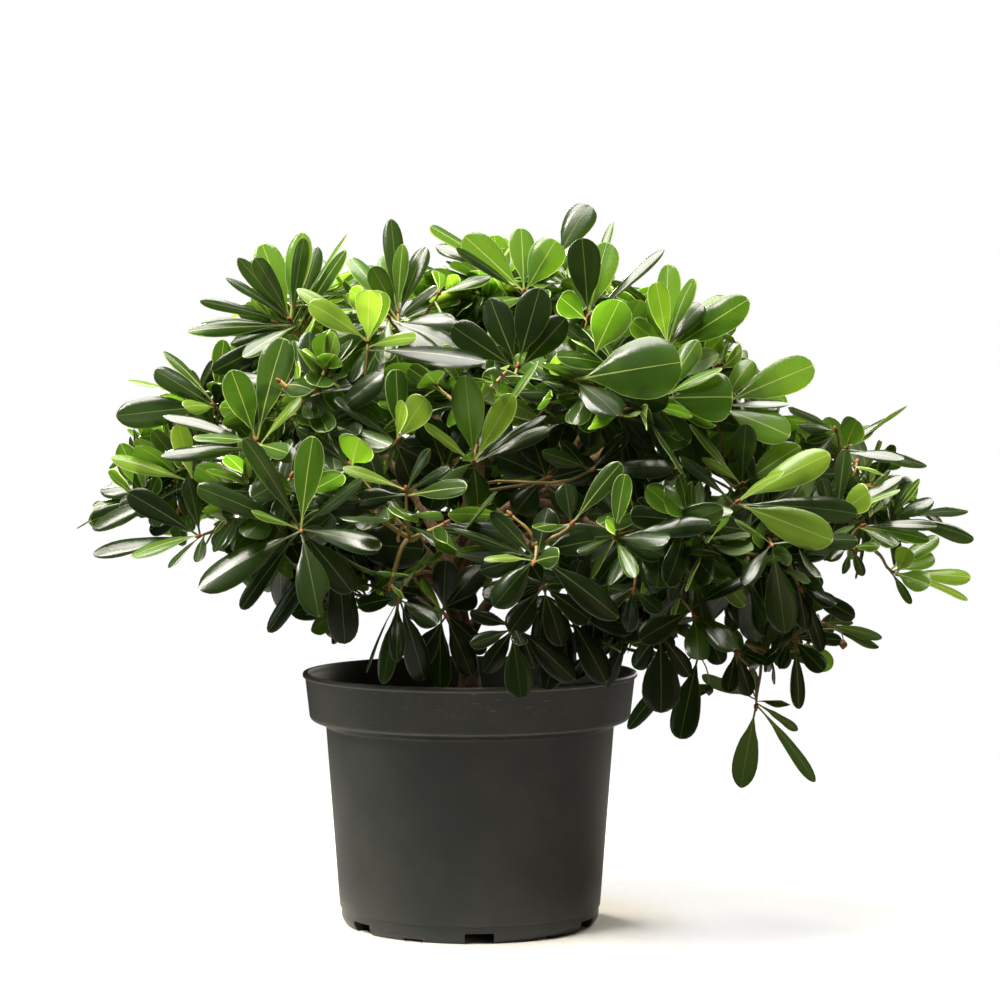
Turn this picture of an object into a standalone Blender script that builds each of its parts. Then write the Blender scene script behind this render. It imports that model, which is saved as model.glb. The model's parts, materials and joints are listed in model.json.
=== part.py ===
"""A pittosporum shrub in its round nursery pot, in metres, +Z up.

The origin is on the pot's axis, at the height of the surface that the pot stands on. +X is the side
of the long arm, -Y is the front. The pot and its compost carry one short leaning trunk. Main boughs
leave the trunk, side boughs leave those, and each bough ends in its own mass of foliage: a leader
in line with the bough, side twigs along it, and a whorl of leaves round the end of each.
"""

import math
import random
from collections import namedtuple

import bmesh
import bpy
from mathutils import Matrix, Vector
from mathutils.bvhtree import BVHTree

# Clearance between neighbouring pieces, and the most that two points may differ and be one.
CLEAR = 0.0003
WELD = 0.00001
UNION_WELD = 0.000001
SHARP_EDGE_DEG = 50.0

# The pot: a 26 cm container with a deep collar under a beaded lip.
POT_HEIGHT = 0.195
LIP_RADIUS = 0.130
LIP_HEIGHT = 0.0036
LIP_EASE = 0.0011
POT_WALL = 0.0022
COLLAR_TOP_RADIUS = 0.1281
COLLAR_FOOT_RADIUS = 0.1244
COLLAR_FOOT = 0.1590
COLLAR_EASE = 0.0020
COLLAR_SLOPE = 0.0050
WALL_TOP_RADIUS = 0.1120
WALL_FOOT_RADIUS = 0.1014
FOOT_BAND_TOP = 0.0135
FOOT_BAND_STEP = 0.0012
FOOT_BAND_BASE = 0.0050
FOOT_RADIUS = 0.0965
FOOT_RING_WIDTH = 0.0070
FLOOR_UNDERSIDE = 0.0050
FLOOR_INSIDE = 0.0080
CENTRE_PAD_RADIUS = 0.031
PAD_SLOPE = 0.003
POT_SIDES = 36

# Drainage notches through the foot ring: six tall ones, and six shallow ones between them.
NOTCHES = 6
FIRST_NOTCH_DEG = -86.0
NOTCH_WIDTH = 0.022
NOTCH_HEIGHT = 0.0082
NOTCH_INNER_RADIUS = 0.084
NOTCH_OUTER_RADIUS = 0.108
SHALLOW_WIDTH = 0.016
SHALLOW_HEIGHT = 0.0022

# The compost, a little proud round the trunk.
SOIL_EDGE = 0.1665
SOIL_CROWN = 0.1720
SOIL_FLAT_RADIUS = 0.022
SOIL_SHOULDER = 0.72
SOIL_SIDES = POT_SIDES // 2

# The trunk: root flare, taper and lean.
TRUNK_FOOT = Vector((0.0, 0.0, SOIL_CROWN + CLEAR))
TRUNK_TOP = Vector((-0.012, 0.004, 0.272))
TRUNK_PLUMB = 0.006
TRUNK_RADIUS = 0.0088
TRUNK_TOP_RADIUS = 0.0066
FLARE = 0.0042
FLARE_HEIGHT = 0.007
TRUNK_POINTS = 9
TRUNK_ROUNDNESS = 3

# The boughs: radius at the root and at the tip, for main boughs and for side boughs.
MAIN_BOUGH = (0.0052, 0.0031)
SIDE_BOUGH = (0.0039, 0.0026)
BOUGH_POINTS = 6
BOUGH_ROUNDNESS = 1
BOUGH_RISE = 0.55
BOUGH_REACH = 0.42

# The foliage: a stem from the bough's tip to the heart of the mass, then twigs, then leaves.
CROWN_MIDDLE = Vector((0.03, 0.0, 0.30))
STEM_LENGTH = 0.034
STEM_RADII = (0.0028, 0.0018)
STEM_SIDES = 5
SIDE_TWIGS = 3
TWIG_RADII = (0.0017, 0.0015)
TWIG_SIDES = 3
TWIG_SPACING = 0.007
TWIG_SPREAD_DEG = 66.0
TWIG_VARY_DEG = 9.0
TWIG_TURN_UP = 0.45
LEAVES = 7
LEAF_LENGTH = 0.080
LEAF_WIDTH = 0.42
LEAF_THICK = 0.0024
LEAF_CORNERS = 5
LEAF_RIDGE = 0.58
LEAF_BLUNT = 1.4
LEAF_FIRST_DEG = 24.0
LEAF_LAST_DEG = 96.0
LEAF_OPENING = 0.8
LEAF_VARY_DEG = 6.0
INNER_LEAF = 0.74
SIZE_VARY = 0.12
HANG_SHARE = 0.5
WHORL_DEPTH = 0.011
TIP_INSET = 0.002
TWIG_SHORT = 0.86
ROOT_ZONE = 0.006
LEAF_CLEAR = 0.0005
GOLDEN_TURN = math.radians(137.508)
SHARED_MARGIN = 0.030
SEED_TRIES = 6
YOUNG_FROM = 0.55
SMALLER_TRIES = ((1.0, 0.0), (1.0, -14.0), (0.88, 0.0), (0.88, 16.0), (0.78, -12.0), (0.70, 10.0))

# Each mass of foliage: its heart, its reach from there to the leaf tips, the limb that its bough
# grows from with how far along that is, and how far the shoots turn up (+) or hang (-).
Mass = namedtuple("Mass", "heart reach parent place turn_up")
FOLIAGE = {
    "crest_middle": Mass((0.020, 0.020, 0.464), 0.092, "trunk", 1.00, 1.0),
    "shoulder_left": Mass((-0.202, -0.005, 0.378), 0.095, "trunk", 0.80, 0.35),
    "front_left": Mass((-0.138, -0.150, 0.322), 0.096, "trunk", 0.58, 0.2),
    "upper_front": Mass((0.000, -0.145, 0.395), 0.097, "trunk", 0.90, 0.5),
    "upper_front_right": Mass((0.095, -0.120, 0.405), 0.097, "trunk", 0.84, 0.5),
    "upper_right": Mass((0.160, -0.030, 0.425), 0.100, "trunk", 0.94, 0.5),
    "arm_right": Mass((0.290, 0.010, 0.335), 0.098, "trunk", 0.70, 0.05),
    "upper_back_left": Mass((-0.115, 0.105, 0.410), 0.100, "trunk", 0.88, 0.5),
    "upper_back": Mass((0.010, 0.135, 0.415), 0.100, "trunk", 0.74, 0.5),
    "upper_back_right": Mass((0.130, 0.100, 0.410), 0.100, "trunk", 0.82, 0.5),
    "low_left": Mass((-0.072, -0.085, 0.250), 0.088, "trunk", 0.40, -0.5),
    "low_right": Mass((0.100, -0.085, 0.252), 0.092, "trunk", 0.44, -0.4),
    "crest_left": Mass((-0.130, -0.020, 0.456), 0.095, "shoulder_left", 0.50, 0.9),
    "crest_middle_left": Mass((-0.055, -0.045, 0.461), 0.092, "upper_front", 0.45, 0.9),
    "crest_right": Mass((0.090, 0.000, 0.470), 0.094, "crest_middle", 0.45, 1.0),
    "upper_front_left": Mass((-0.115, -0.115, 0.396), 0.097, "front_left", 0.45, 0.5),
    "shoulder_right": Mass((0.222, -0.045, 0.378), 0.096, "upper_right", 0.45, 0.2),
    "arm_left": Mass((-0.222, -0.065, 0.328), 0.088, "shoulder_left", 0.62, 0.1),
    "front_middle_left": Mass((-0.045, -0.190, 0.306), 0.096, "front_left", 0.62, 0.0),
    "front_middle": Mass((0.045, -0.185, 0.302), 0.095, "upper_front", 0.52, 0.0),
    "front_right": Mass((0.135, -0.150, 0.316), 0.097, "upper_front_right", 0.52, 0.1),
    "arm_right_front": Mass((0.208, -0.095, 0.302), 0.097, "arm_right", 0.50, -0.1),
    "arm_right_far": Mass((0.318, -0.045, 0.290), 0.088, "arm_right", 0.70, 0.0),
    "hanging": Mass((0.208, -0.060, 0.222), 0.108, "low_right", 0.60, -0.9),
    "back_left": Mass((-0.165, 0.105, 0.318), 0.100, "upper_back_left", 0.55, 0.1),
    "back_middle": Mass((-0.030, 0.180, 0.312), 0.100, "upper_back", 0.58, 0.1),
    "back_right": Mass((0.100, 0.165, 0.316), 0.100, "upper_back_right", 0.55, 0.1),
    "arm_right_back": Mass((0.215, 0.095, 0.325), 0.100, "arm_right", 0.42, 0.1),
}

# sRGB colours, roughness.
COLOURS = {
    "pot_plastic": ("#363833", 0.55),
    "compost": ("#241a12", 0.95),
    "bark": ("#6b4a35", 0.85),
    "leaf": ("#2f4a20", 0.40),
    "young_leaf": ("#6f9a2c", 0.40),
}


def linear(hex_colour):
    """An sRGB hex colour as linear red, green, blue and alpha."""
    channels = [int(hex_colour[i : i + 2], 16) / 255 for i in (1, 3, 5)]
    return [c / 12.92 if c <= 0.04045 else ((c + 0.055) / 1.055) ** 2.4 for c in channels] + [1.0]


def make_material(name):
    colour, roughness = COLOURS[name]
    material = bpy.data.materials.new(name)
    material.use_nodes = True
    shader = material.node_tree.nodes["Principled BSDF"]
    shader.inputs["Base Color"].default_value = linear(colour)
    shader.inputs["Roughness"].default_value = roughness
    shader.inputs["Metallic"].default_value = 0.0
    return material


def clear_scene():
    for old in list(bpy.data.objects):
        bpy.data.objects.remove(old)


def new_collection(name):
    made = bpy.data.collections.new(name)
    bpy.context.scene.collection.children.link(made)
    return made


def add_object(name, data, collection, material=None):
    made = bpy.data.objects.new(name, data)
    collection.objects.link(made)
    if material:
        data.materials.clear()
        data.materials.append(material)
    return made


def mesh_from(bm, name):
    mesh = bpy.data.meshes.new(name)
    bm.to_mesh(mesh)
    bm.free()
    return mesh


def evaluated_mesh(obj):
    bpy.context.view_layer.update()
    graph = bpy.context.evaluated_depsgraph_get()
    return bpy.data.meshes.new_from_object(obj.evaluated_get(graph))


def hide_as_cutter(obj):
    obj.hide_render = True
    obj.display_type = "WIRE"


def boolean(obj, operation, others):
    """Adds an exact Boolean with every object of a collection."""
    modifier = obj.modifiers.new(operation.lower(), "BOOLEAN")
    modifier.operation = operation
    modifier.operand_type = "COLLECTION"
    modifier.collection = others
    return modifier


def remove_collection(collection):
    for obj in list(collection.objects):
        bpy.data.objects.remove(obj)
    bpy.data.collections.remove(collection)


def turned(name, profile, sides, collection, material):
    """A shape turned round the Z axis from a half section given as (radius, height) points."""
    bm = bmesh.new()
    corners = [bm.verts.new((radius, 0.0, height)) for radius, height in profile]
    for first, second in zip(corners, corners[1:]):
        bm.edges.new((first, second))
    obj = add_object(name, mesh_from(bm, name), collection, material)
    screw = obj.modifiers.new("turn", "SCREW")
    screw.steps = sides
    screw.render_steps = sides
    screw.use_merge_vertices = True
    screw.merge_threshold = WELD
    screw.use_smooth_shade = True
    return obj


def inside(radius):
    """The inner face of the pot's wall where its outer face has this radius."""
    return radius - POT_WALL


def pot_profile():
    """From the middle of the floor, up the inside, over the lip, down the outside, to the pad."""
    lip_foot = POT_HEIGHT - LIP_HEIGHT
    band = WALL_FOOT_RADIUS - FOOT_BAND_STEP
    return [
        (0.0, FLOOR_INSIDE),
        (inside(FOOT_RADIUS), FLOOR_INSIDE),
        (inside(WALL_FOOT_RADIUS), FOOT_BAND_TOP),
        (inside(WALL_TOP_RADIUS), COLLAR_FOOT - COLLAR_SLOPE),
        (inside(COLLAR_FOOT_RADIUS), COLLAR_FOOT),
        (inside(COLLAR_TOP_RADIUS), POT_HEIGHT),
        (LIP_RADIUS - LIP_EASE, POT_HEIGHT),
        (LIP_RADIUS, POT_HEIGHT - LIP_EASE),
        (LIP_RADIUS, lip_foot + LIP_EASE),
        (LIP_RADIUS - LIP_EASE, lip_foot),
        (COLLAR_TOP_RADIUS, lip_foot),
        (COLLAR_FOOT_RADIUS, COLLAR_FOOT),
        (COLLAR_FOOT_RADIUS - COLLAR_EASE, COLLAR_FOOT - COLLAR_EASE),
        (WALL_TOP_RADIUS, COLLAR_FOOT - COLLAR_SLOPE),
        (WALL_FOOT_RADIUS, FOOT_BAND_TOP),
        (band, FOOT_BAND_TOP),
        (band, FOOT_BAND_BASE),
        (FOOT_RADIUS, 0.0),
        (FOOT_RADIUS - FOOT_RING_WIDTH, 0.0),
        (FOOT_RADIUS - FOOT_RING_WIDTH, FLOOR_UNDERSIDE),
        (CENTRE_PAD_RADIUS + PAD_SLOPE, FLOOR_UNDERSIDE),
        (CENTRE_PAD_RADIUS, 0.0),
        (0.0, 0.0),
    ]


def notch_cutter(name, angle, width, height, cutters):
    """A block that cuts one notch through the foot ring, standing through the ground plane."""
    depth = NOTCH_OUTER_RADIUS - NOTCH_INNER_RADIUS
    middle = (NOTCH_OUTER_RADIUS + NOTCH_INNER_RADIUS) / 2
    bm = bmesh.new()
    bmesh.ops.create_cube(bm, size=1.0)
    bmesh.ops.scale(bm, vec=(depth, width, height * 2), verts=bm.verts)
    obj = add_object(name, mesh_from(bm, name), cutters)
    obj.location = (middle * math.cos(angle), middle * math.sin(angle), 0.0)
    obj.rotation_euler = (0.0, 0.0, angle)
    hide_as_cutter(obj)
    return obj


def build_pot(parts, material):
    """The turned pot, with the notches cut through its foot ring."""
    pot = turned("pot", pot_profile(), POT_SIDES, parts, material)
    notches = new_collection("pot_notches")
    step = math.tau / NOTCHES
    for index in range(NOTCHES):
        angle = math.radians(FIRST_NOTCH_DEG) + index * step
        notch_cutter(f"tall_notch_{index}", angle, NOTCH_WIDTH, NOTCH_HEIGHT, notches)
        notch_cutter(f"low_notch_{index}", angle + step / 2, SHALLOW_WIDTH, SHALLOW_HEIGHT, notches)
    boolean(pot, "DIFFERENCE", notches)
    return pot


def soil_profile():
    """From the middle of the underside, up the pot's inside 0.3 mm clear, and over the top."""
    rise = (SOIL_EDGE - COLLAR_FOOT) / (POT_HEIGHT - COLLAR_FOOT)
    edge = inside(taper(COLLAR_FOOT_RADIUS, COLLAR_TOP_RADIUS, rise)) - CLEAR
    return [
        (0.0, SOIL_CROWN),
        (SOIL_FLAT_RADIUS, SOIL_CROWN),
        (edge * SOIL_SHOULDER, (SOIL_EDGE + SOIL_CROWN) / 2),
        (edge, SOIL_EDGE),
        (inside(COLLAR_FOOT_RADIUS) - CLEAR, COLLAR_FOOT + CLEAR),
        (inside(WALL_TOP_RADIUS) - CLEAR, COLLAR_FOOT - COLLAR_SLOPE + CLEAR),
        (inside(WALL_FOOT_RADIUS) - CLEAR, FOOT_BAND_TOP + CLEAR),
        (inside(FOOT_RADIUS) - CLEAR, FLOOR_INSIDE + CLEAR),
        (0.0, FLOOR_INSIDE + CLEAR),
    ]


def taper(first, last, share):
    return first + (last - first) * share


def trunk_points():
    """The trunk's middle line with its radius at each point, the first step plumb for a flat foot."""
    plumb = TRUNK_FOOT + Vector((0.0, 0.0, TRUNK_PLUMB))
    line = [TRUNK_FOOT]
    for index in range(TRUNK_POINTS):
        share = index / (TRUNK_POINTS - 1)
        lean = share * share * (3 - 2 * share)
        point = Vector((
            taper(plumb.x, TRUNK_TOP.x, lean),
            taper(plumb.y, TRUNK_TOP.y, lean),
            taper(plumb.z, TRUNK_TOP.z, share),
        ))
        line.append(point)
    points = []
    for point in line:
        above = point.z - TRUNK_FOOT.z
        share = above / (TRUNK_TOP.z - TRUNK_FOOT.z)
        flare = FLARE * math.exp(-above / FLARE_HEIGHT)
        points.append((point, taper(TRUNK_RADIUS, TRUNK_TOP_RADIUS, share) + flare))
    return points


def along(points, share):
    """The place and direction at a share of the length of a limb's points."""
    place = min(max(share, 0.0), 1.0) * (len(points) - 1)
    index = min(int(place), len(points) - 2)
    first, second = points[index][0], points[index + 1][0]
    return first.lerp(second, place - index), (second - first).normalized()


def bough_points(start, set_out, end, arrive, radii):
    """One tapering limb: it leaves its parent rising, and arrives in line with its mass's stem."""
    chord = end - start
    leave = (chord.normalized() * (1 - BOUGH_RISE) + set_out * BOUGH_RISE).normalized()
    handles = [start, start + leave * chord.length * BOUGH_REACH]
    handles += [end - arrive * chord.length * BOUGH_REACH, end]
    points = []
    for index in range(BOUGH_POINTS):
        share = index / (BOUGH_POINTS - 1)
        row = handles
        while len(row) > 1:
            row = [first.lerp(second, share) for first, second in zip(row, row[1:])]
        points.append((row[0], taper(radii[0], radii[1], share)))
    return points


def limb_mesh(name, points, roundness, swell=0.0):
    """A tube through the points as one welded mesh. A swollen one is longer and thicker all over."""
    curve = bpy.data.curves.new(name, "CURVE")
    curve.dimensions = "3D"
    curve.bevel_depth = 1.0
    curve.bevel_resolution = roundness
    curve.use_fill_caps = True
    spline = curve.splines.new("POLY")
    spline.points.add(len(points) - 1)
    places = [place.copy() for place, _ in points]
    places[0] -= (points[1][0] - points[0][0]).normalized() * swell
    places[-1] += (points[-1][0] - points[-2][0]).normalized() * swell
    for target, place, (_, radius) in zip(spline.points, places, points):
        target.co = (*place, 1.0)
        target.radius = radius + swell
    obj = add_object(name, curve, bpy.context.scene.collection)
    mesh = evaluated_mesh(obj)
    bpy.data.objects.remove(obj)
    bm = bmesh.new()
    bm.from_mesh(mesh)
    bmesh.ops.remove_doubles(bm, verts=bm.verts, dist=WELD)
    bmesh.ops.recalc_face_normals(bm, faces=bm.faces)
    bm.to_mesh(mesh)
    bm.free()
    return mesh


def bodies_of(bm):
    """The separate bodies of a mesh, each as a list of its corners."""
    bm.verts.ensure_lookup_table()
    seen, bodies = set(), []
    for first in bm.verts:
        if first.index in seen:
            continue
        seen.add(first.index)
        body = [first]
        for vertex in body:
            for edge in vertex.link_edges:
                other = edge.other_vert(vertex)
                if other.index not in seen:
                    seen.add(other.index)
                    body.append(other)
        bodies.append(body)
    return bodies


def keep_one_body(mesh):
    """Drops loose scraps and sealed hollows: only the largest body stays. True if it is closed."""
    bm = bmesh.new()
    bm.from_mesh(mesh)
    bmesh.ops.remove_doubles(bm, verts=bm.verts, dist=UNION_WELD)
    bmesh.ops.triangulate(bm, faces=bm.faces)
    bm.verts.index_update()
    for body in sorted(bodies_of(bm), key=len)[:-1]:
        bmesh.ops.delete(bm, geom=body, context="VERTS")
    is_closed = all(edge.is_manifold for edge in bm.edges)
    bm.to_mesh(mesh)
    bm.free()
    return is_closed


def smooth_round(mesh):
    mesh.shade_smooth()
    mesh.set_sharp_from_angle(angle=math.radians(SHARP_EDGE_DEG))


def build_trunk(parts, material):
    mesh = limb_mesh("trunk", trunk_points(), TRUNK_ROUNDNESS)
    smooth_round(mesh)
    return add_object("trunk", mesh, parts, material)


def outward(heart):
    """From the middle of the crown through a mass's heart."""
    return (heart - CROWN_MIDDLE).normalized()


def shoot_axis(heart, turn_up):
    """Which way the shoots of a mass grow: outwards, turned up to the light or hanging."""
    return (outward(heart) + Vector((0.0, 0.0, turn_up))).normalized()


def stem_direction(heart, turn_up):
    """Which way a mass's stem runs: half way between outwards and the way its shoots grow."""
    return (outward(heart) + shoot_axis(heart, turn_up)).normalized()


def bough_lines():
    """The points of every limb: the trunk's, and each bough's from its parent to its mass."""
    lines = {"trunk": trunk_points()}
    for name, mass in FOLIAGE.items():
        heart = Vector(mass.heart)
        arrive = stem_direction(heart, mass.turn_up)
        start, set_out = along(lines[mass.parent], mass.place)
        radii = MAIN_BOUGH if mass.parent == "trunk" else SIDE_BOUGH
        lines[name] = bough_points(start, set_out, heart - arrive * STEM_LENGTH, arrive, radii)
    return lines


def add_guard(name, points, roundness, cutters):
    """A limb swollen by the clearance, which cuts the limbs that start inside it."""
    mesh = limb_mesh(f"{name}_guard", points, roundness, CLEAR)
    hide_as_cutter(add_object(f"{name}_guard", mesh, cutters))


def build_boughs(lines, parts, material):
    """Every bough, cut 0.3 mm clear of each limb that was made before it."""
    guards = new_collection("limb_guards")
    add_guard("trunk", lines["trunk"], TRUNK_ROUNDNESS, guards)
    for name in FOLIAGE:
        tube = limb_mesh(name, lines[name], BOUGH_ROUNDNESS)
        bough = add_object(f"bough_{name}", tube, parts, material)
        cut = boolean(bough, "DIFFERENCE", guards)
        mesh = evaluated_mesh(bough)
        bough.modifiers.remove(cut)
        if not keep_one_body(mesh):
            raise RuntimeError(f"bough {name} isn't closed")
        smooth_round(mesh)
        bough.data = mesh
        add_guard(name, lines[name], BOUGH_ROUNDNESS, guards)
    remove_collection(guards)


def frame_at(origin, forward, up):
    """A matrix with +Y along forward and +Z as near to up as that allows."""
    side = forward.cross(up).normalized()
    raised = side.cross(forward).normalized()
    turn = Matrix((side, forward, raised)).transposed()
    return Matrix.Translation(origin) @ turn.to_4x4()


def rod(first, second, radii, sides):
    """A straight tapering twig from one point to another."""
    direction = second - first
    bm = bmesh.new()
    bmesh.ops.create_cone(
        bm, cap_ends=True, segments=sides, radius1=radii[0], radius2=radii[1], depth=direction.length
    )
    turn = direction.to_track_quat("Z", "Y").to_matrix().to_4x4()
    bm.transform(Matrix.Translation(first.lerp(second, 0.5)) @ turn)
    return bm


def leaf_blade(root, direction, face, length, swell=0.0):
    """A leaf of eight faces: a low five-sided pyramid whose base is drawn out into a blunt blade.

    One corner of the base is the root, the next two are the widest place, and the last two the
    tip. Its flat side is below, and its ridge looks towards face.
    """
    bm = bmesh.new()
    bmesh.ops.create_cone(bm, cap_ends=True, segments=LEAF_CORNERS, radius1=1.0, radius2=0.0, depth=1.0)
    corner = math.tau / LEAF_CORNERS
    half_width = length * LEAF_WIDTH / 2 + swell
    for vertex in bm.verts:
        x, y, z = vertex.co
        if z > 0.0:
            vertex.co = Vector((0.0, length * LEAF_RIDGE, LEAF_THICK + swell))
            continue
        turn = round(math.atan2(x, y) / corner) * corner
        across = math.copysign(abs(math.sin(turn) / math.sin(corner)) ** LEAF_BLUNT, turn)
        ahead = math.sqrt((1 - math.cos(turn)) / (1 - math.cos(2 * corner)))
        vertex.co = Vector((half_width * across, (length + swell) * ahead, -swell))
    bmesh.ops.triangulate(bm, faces=bm.faces)
    bmesh.ops.recalc_face_normals(bm, faces=bm.faces)
    bm.transform(frame_at(root, direction, face))
    return bm


def tree_of(meshes):
    """One search tree over the triangles of several meshes in world space."""
    places, faces = [], []
    for mesh in meshes:
        first = len(places)
        places.extend(vertex.co.copy() for vertex in mesh.vertices)
        mesh.calc_loop_triangles()
        faces.extend([first + i for i in triangle.vertices] for triangle in mesh.loop_triangles)
    return BVHTree.FromPolygons(places, faces)


def in_own_space(bm, name):
    """Whether a piece stays inside its mass's ball and well on its own side of the neighbours."""
    heart = Vector(FOLIAGE[name].heart)
    others = [Vector(mass.heart) for other, mass in FOLIAGE.items() if other != name]
    for vertex in bm.verts:
        own = (vertex.co - heart).length
        nearest = min((vertex.co - other).length for other in others)
        if own > FOLIAGE[name].reach or own > nearest + SHARED_MARGIN:
            return False
    return True


def twig_directions(axis, turn_up, source):
    """The side twigs of a mass lean out round its axis, and turn up to the light or hang."""
    side = axis.orthogonal().normalized()
    first_turn = source.uniform(0.0, math.tau)
    for index in range(SIDE_TWIGS):
        lean = math.radians(TWIG_SPREAD_DEG + source.uniform(-TWIG_VARY_DEG, TWIG_VARY_DEG))
        across = Matrix.Rotation(first_turn + index * math.tau / SIDE_TWIGS, 3, axis) @ side
        way = axis * math.cos(lean) + across * math.sin(lean)
        yield (way + Vector((0.0, 0.0, turn_up * TWIG_TURN_UP))).normalized()


def leaf_directions(shoot, turn_up, source):
    """Directions of one whorl, from the erect inner leaves to the spreading outer ones."""
    side = shoot.orthogonal().normalized()
    first_turn = source.uniform(0.0, math.tau)
    for index in range(LEAVES):
        share = index / (LEAVES - 1)
        lean = taper(LEAF_FIRST_DEG, LEAF_LAST_DEG, share ** LEAF_OPENING)
        lean += source.uniform(-LEAF_VARY_DEG, LEAF_VARY_DEG)
        length = LEAF_LENGTH * taper(INNER_LEAF, 1.0, math.sqrt(share))
        length *= source.uniform(1 - SIZE_VARY, 1 + SIZE_VARY)
        across = Matrix.Rotation(first_turn + index * GOLDEN_TURN, 3, shoot) @ side
        yield share, lean, length, across, min(0.0, turn_up) * HANG_SHARE


def is_free(tree, obstacles):
    return not any(tree.overlap(other) for other in obstacles)


def tree_from(bm):
    """The search tree of a test piece, which isn't kept."""
    tree = BVHTree.FromBMesh(bm)
    bm.free()
    return tree


def fit_leaf(name, shoot, leaf, own, others):
    """The first of a few turned or shortened leaves that finds room, with its trees, or None.

    Past its root zone it has to miss all that is on its own shoot, and everywhere all the rest.
    """
    tip, direction = shoot
    share, lean, length, across, hang = leaf
    root = tip - direction * (WHORL_DEPTH * share + TIP_INSET)
    for scale, change in SMALLER_TRIES:
        angle = math.radians(lean + change)
        way = direction * math.cos(angle) + across * math.sin(angle) + Vector((0.0, 0.0, hang))
        way.normalize()
        face = direction - way * direction.dot(way)
        size = length * scale
        blade = leaf_blade(root, way, face, size)
        whole = tree_from(leaf_blade(root, way, face, size, LEAF_CLEAR))
        past_root = leaf_blade(root + way * ROOT_ZONE, way, face, size - ROOT_ZONE, LEAF_CLEAR)
        outer = tree_from(past_root)
        if in_own_space(blade, name) and is_free(whole, others) and is_free(outer, own):
            return blade, outer, whole
        blade.free()
    return None


def grow_shoots(name, line, limbs, source):
    """A mass's leader, in line with its bough, and the side twigs that find room along it."""
    foot = line[-1][0]
    axis = (foot - line[-2][0]).normalized()
    twig_length = FOLIAGE[name].reach - LEAF_LENGTH * TWIG_SHORT
    tip = foot + axis * (STEM_LENGTH + twig_length)
    leader = rod(foot + axis * CLEAR, tip, STEM_RADII, STEM_SIDES)
    twigs, shoots = [leader], [(tip, axis)]
    for index, direction in enumerate(twig_directions(axis, FOLIAGE[name].turn_up, source)):
        root = foot + axis * (STEM_LENGTH - index * TWIG_SPACING)
        tip = root + direction * twig_length
        twig = rod(root, tip, TWIG_RADII, TWIG_SIDES)
        if in_own_space(twig, name) and is_free(BVHTree.FromBMesh(twig), [limbs]):
            twigs.append(twig)
            shoots.append((tip, direction))
    return twigs, shoots


def grow_mass(name, line, limbs, seed):
    """The closed pieces of one mass: its leader, its twigs, and the leaves that find room."""
    source = random.Random(f"{name} {seed}")
    twigs, shoots = grow_shoots(name, line, limbs, source)
    woody = [BVHTree.FromBMesh(twig) for twig in twigs]
    leaves = []
    outers = [[] for _ in shoots]
    wholes = [[] for _ in shoots]
    for index, shoot in enumerate(shoots):
        for leaf in list(leaf_directions(shoot[1], FOLIAGE[name].turn_up, source)):
            others = [limbs]
            for other in range(len(shoots)):
                others += [woody[other], *wholes[other]] if other != index else []
            found = fit_leaf(name, shoot, leaf, [woody[index], *outers[index]], others)
            if found:
                leaves.append(found[0])
                outers[index].append(found[1])
                wholes[index].append(found[2])
    return [*twigs, *leaves], len(leaves)


def fuse(name, pieces, parts, material):
    """One Boolean union of the pieces on the stem, applied, and the pieces removed."""
    loose = new_collection(f"{name}_pieces")
    stem = add_object(name, mesh_from(pieces[0], name), parts)
    for index, piece in enumerate(pieces[1:]):
        add_object(f"{name}_{index}", mesh_from(piece, f"{name}_{index}"), loose)
    union = boolean(stem, "UNION", loose)
    mesh = evaluated_mesh(stem)
    stem.modifiers.remove(union)
    remove_collection(loose)
    if not keep_one_body(mesh):
        bpy.data.objects.remove(stem)
        return None
    mesh.materials.clear()
    mesh.materials.append(material)
    stem.data = mesh
    return stem


def build_foliage(lines, parts, solid, paint):
    """Every mass, each clear of all that was made before it."""
    total = 0
    for name, mass_row in FOLIAGE.items():
        limbs = tree_of(solid)
        tone = paint["young_leaf" if mass_row.turn_up > YOUNG_FROM else "leaf"]
        for seed in range(SEED_TRIES):
            pieces, leaves = grow_mass(name, lines[name], limbs, seed)
            mass = fuse(f"foliage_{name}", pieces, parts, tone)
            if mass:
                break
        else:
            raise RuntimeError(f"foliage {name} isn't closed")
        solid.append(mass.data)
        total += leaves
        print(name, "seed", seed, "leaves", leaves, "triangles", len(mass.data.polygons))
    print("leaves in all", total)


def main():
    clear_scene()
    parts = new_collection("pittosporum_shrub")
    paint = {name: make_material(name) for name in COLOURS}
    pot = build_pot(parts, paint["pot_plastic"])
    soil = turned("compost", soil_profile(), SOIL_SIDES, parts, paint["compost"])
    trunk = build_trunk(parts, paint["bark"])
    lines = bough_lines()
    build_boughs(lines, parts, paint["bark"])
    boughs = [part.data for part in parts.objects if part.name.startswith("bough_")]
    solid = [evaluated_mesh(pot), evaluated_mesh(soil), trunk.data, *boughs]
    build_foliage(lines, parts, solid, paint)


main()
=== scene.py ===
# %% [markdown]
# # A pittosporum shrub in its nursery pot
#
# An evergreen shrub with whorls of leathery, blunt-ended leaves stands in a grey plastic container. This
# lesson dresses the plain solids of the part: a finely turned pot, crumbly compost, bark with relief, and
# a crown of thin leaves that grow on from the same limbs by the same rule.
#
# The solids come first, as a frame that nothing here moves. All sizes are in metres.

# %% Load the solids
import json
import math
import random
from collections import namedtuple

import bmesh
import bpy
import numpy as np
from mathutils import Matrix, Vector, noise
from mathutils.bvhtree import BVHTree

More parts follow.
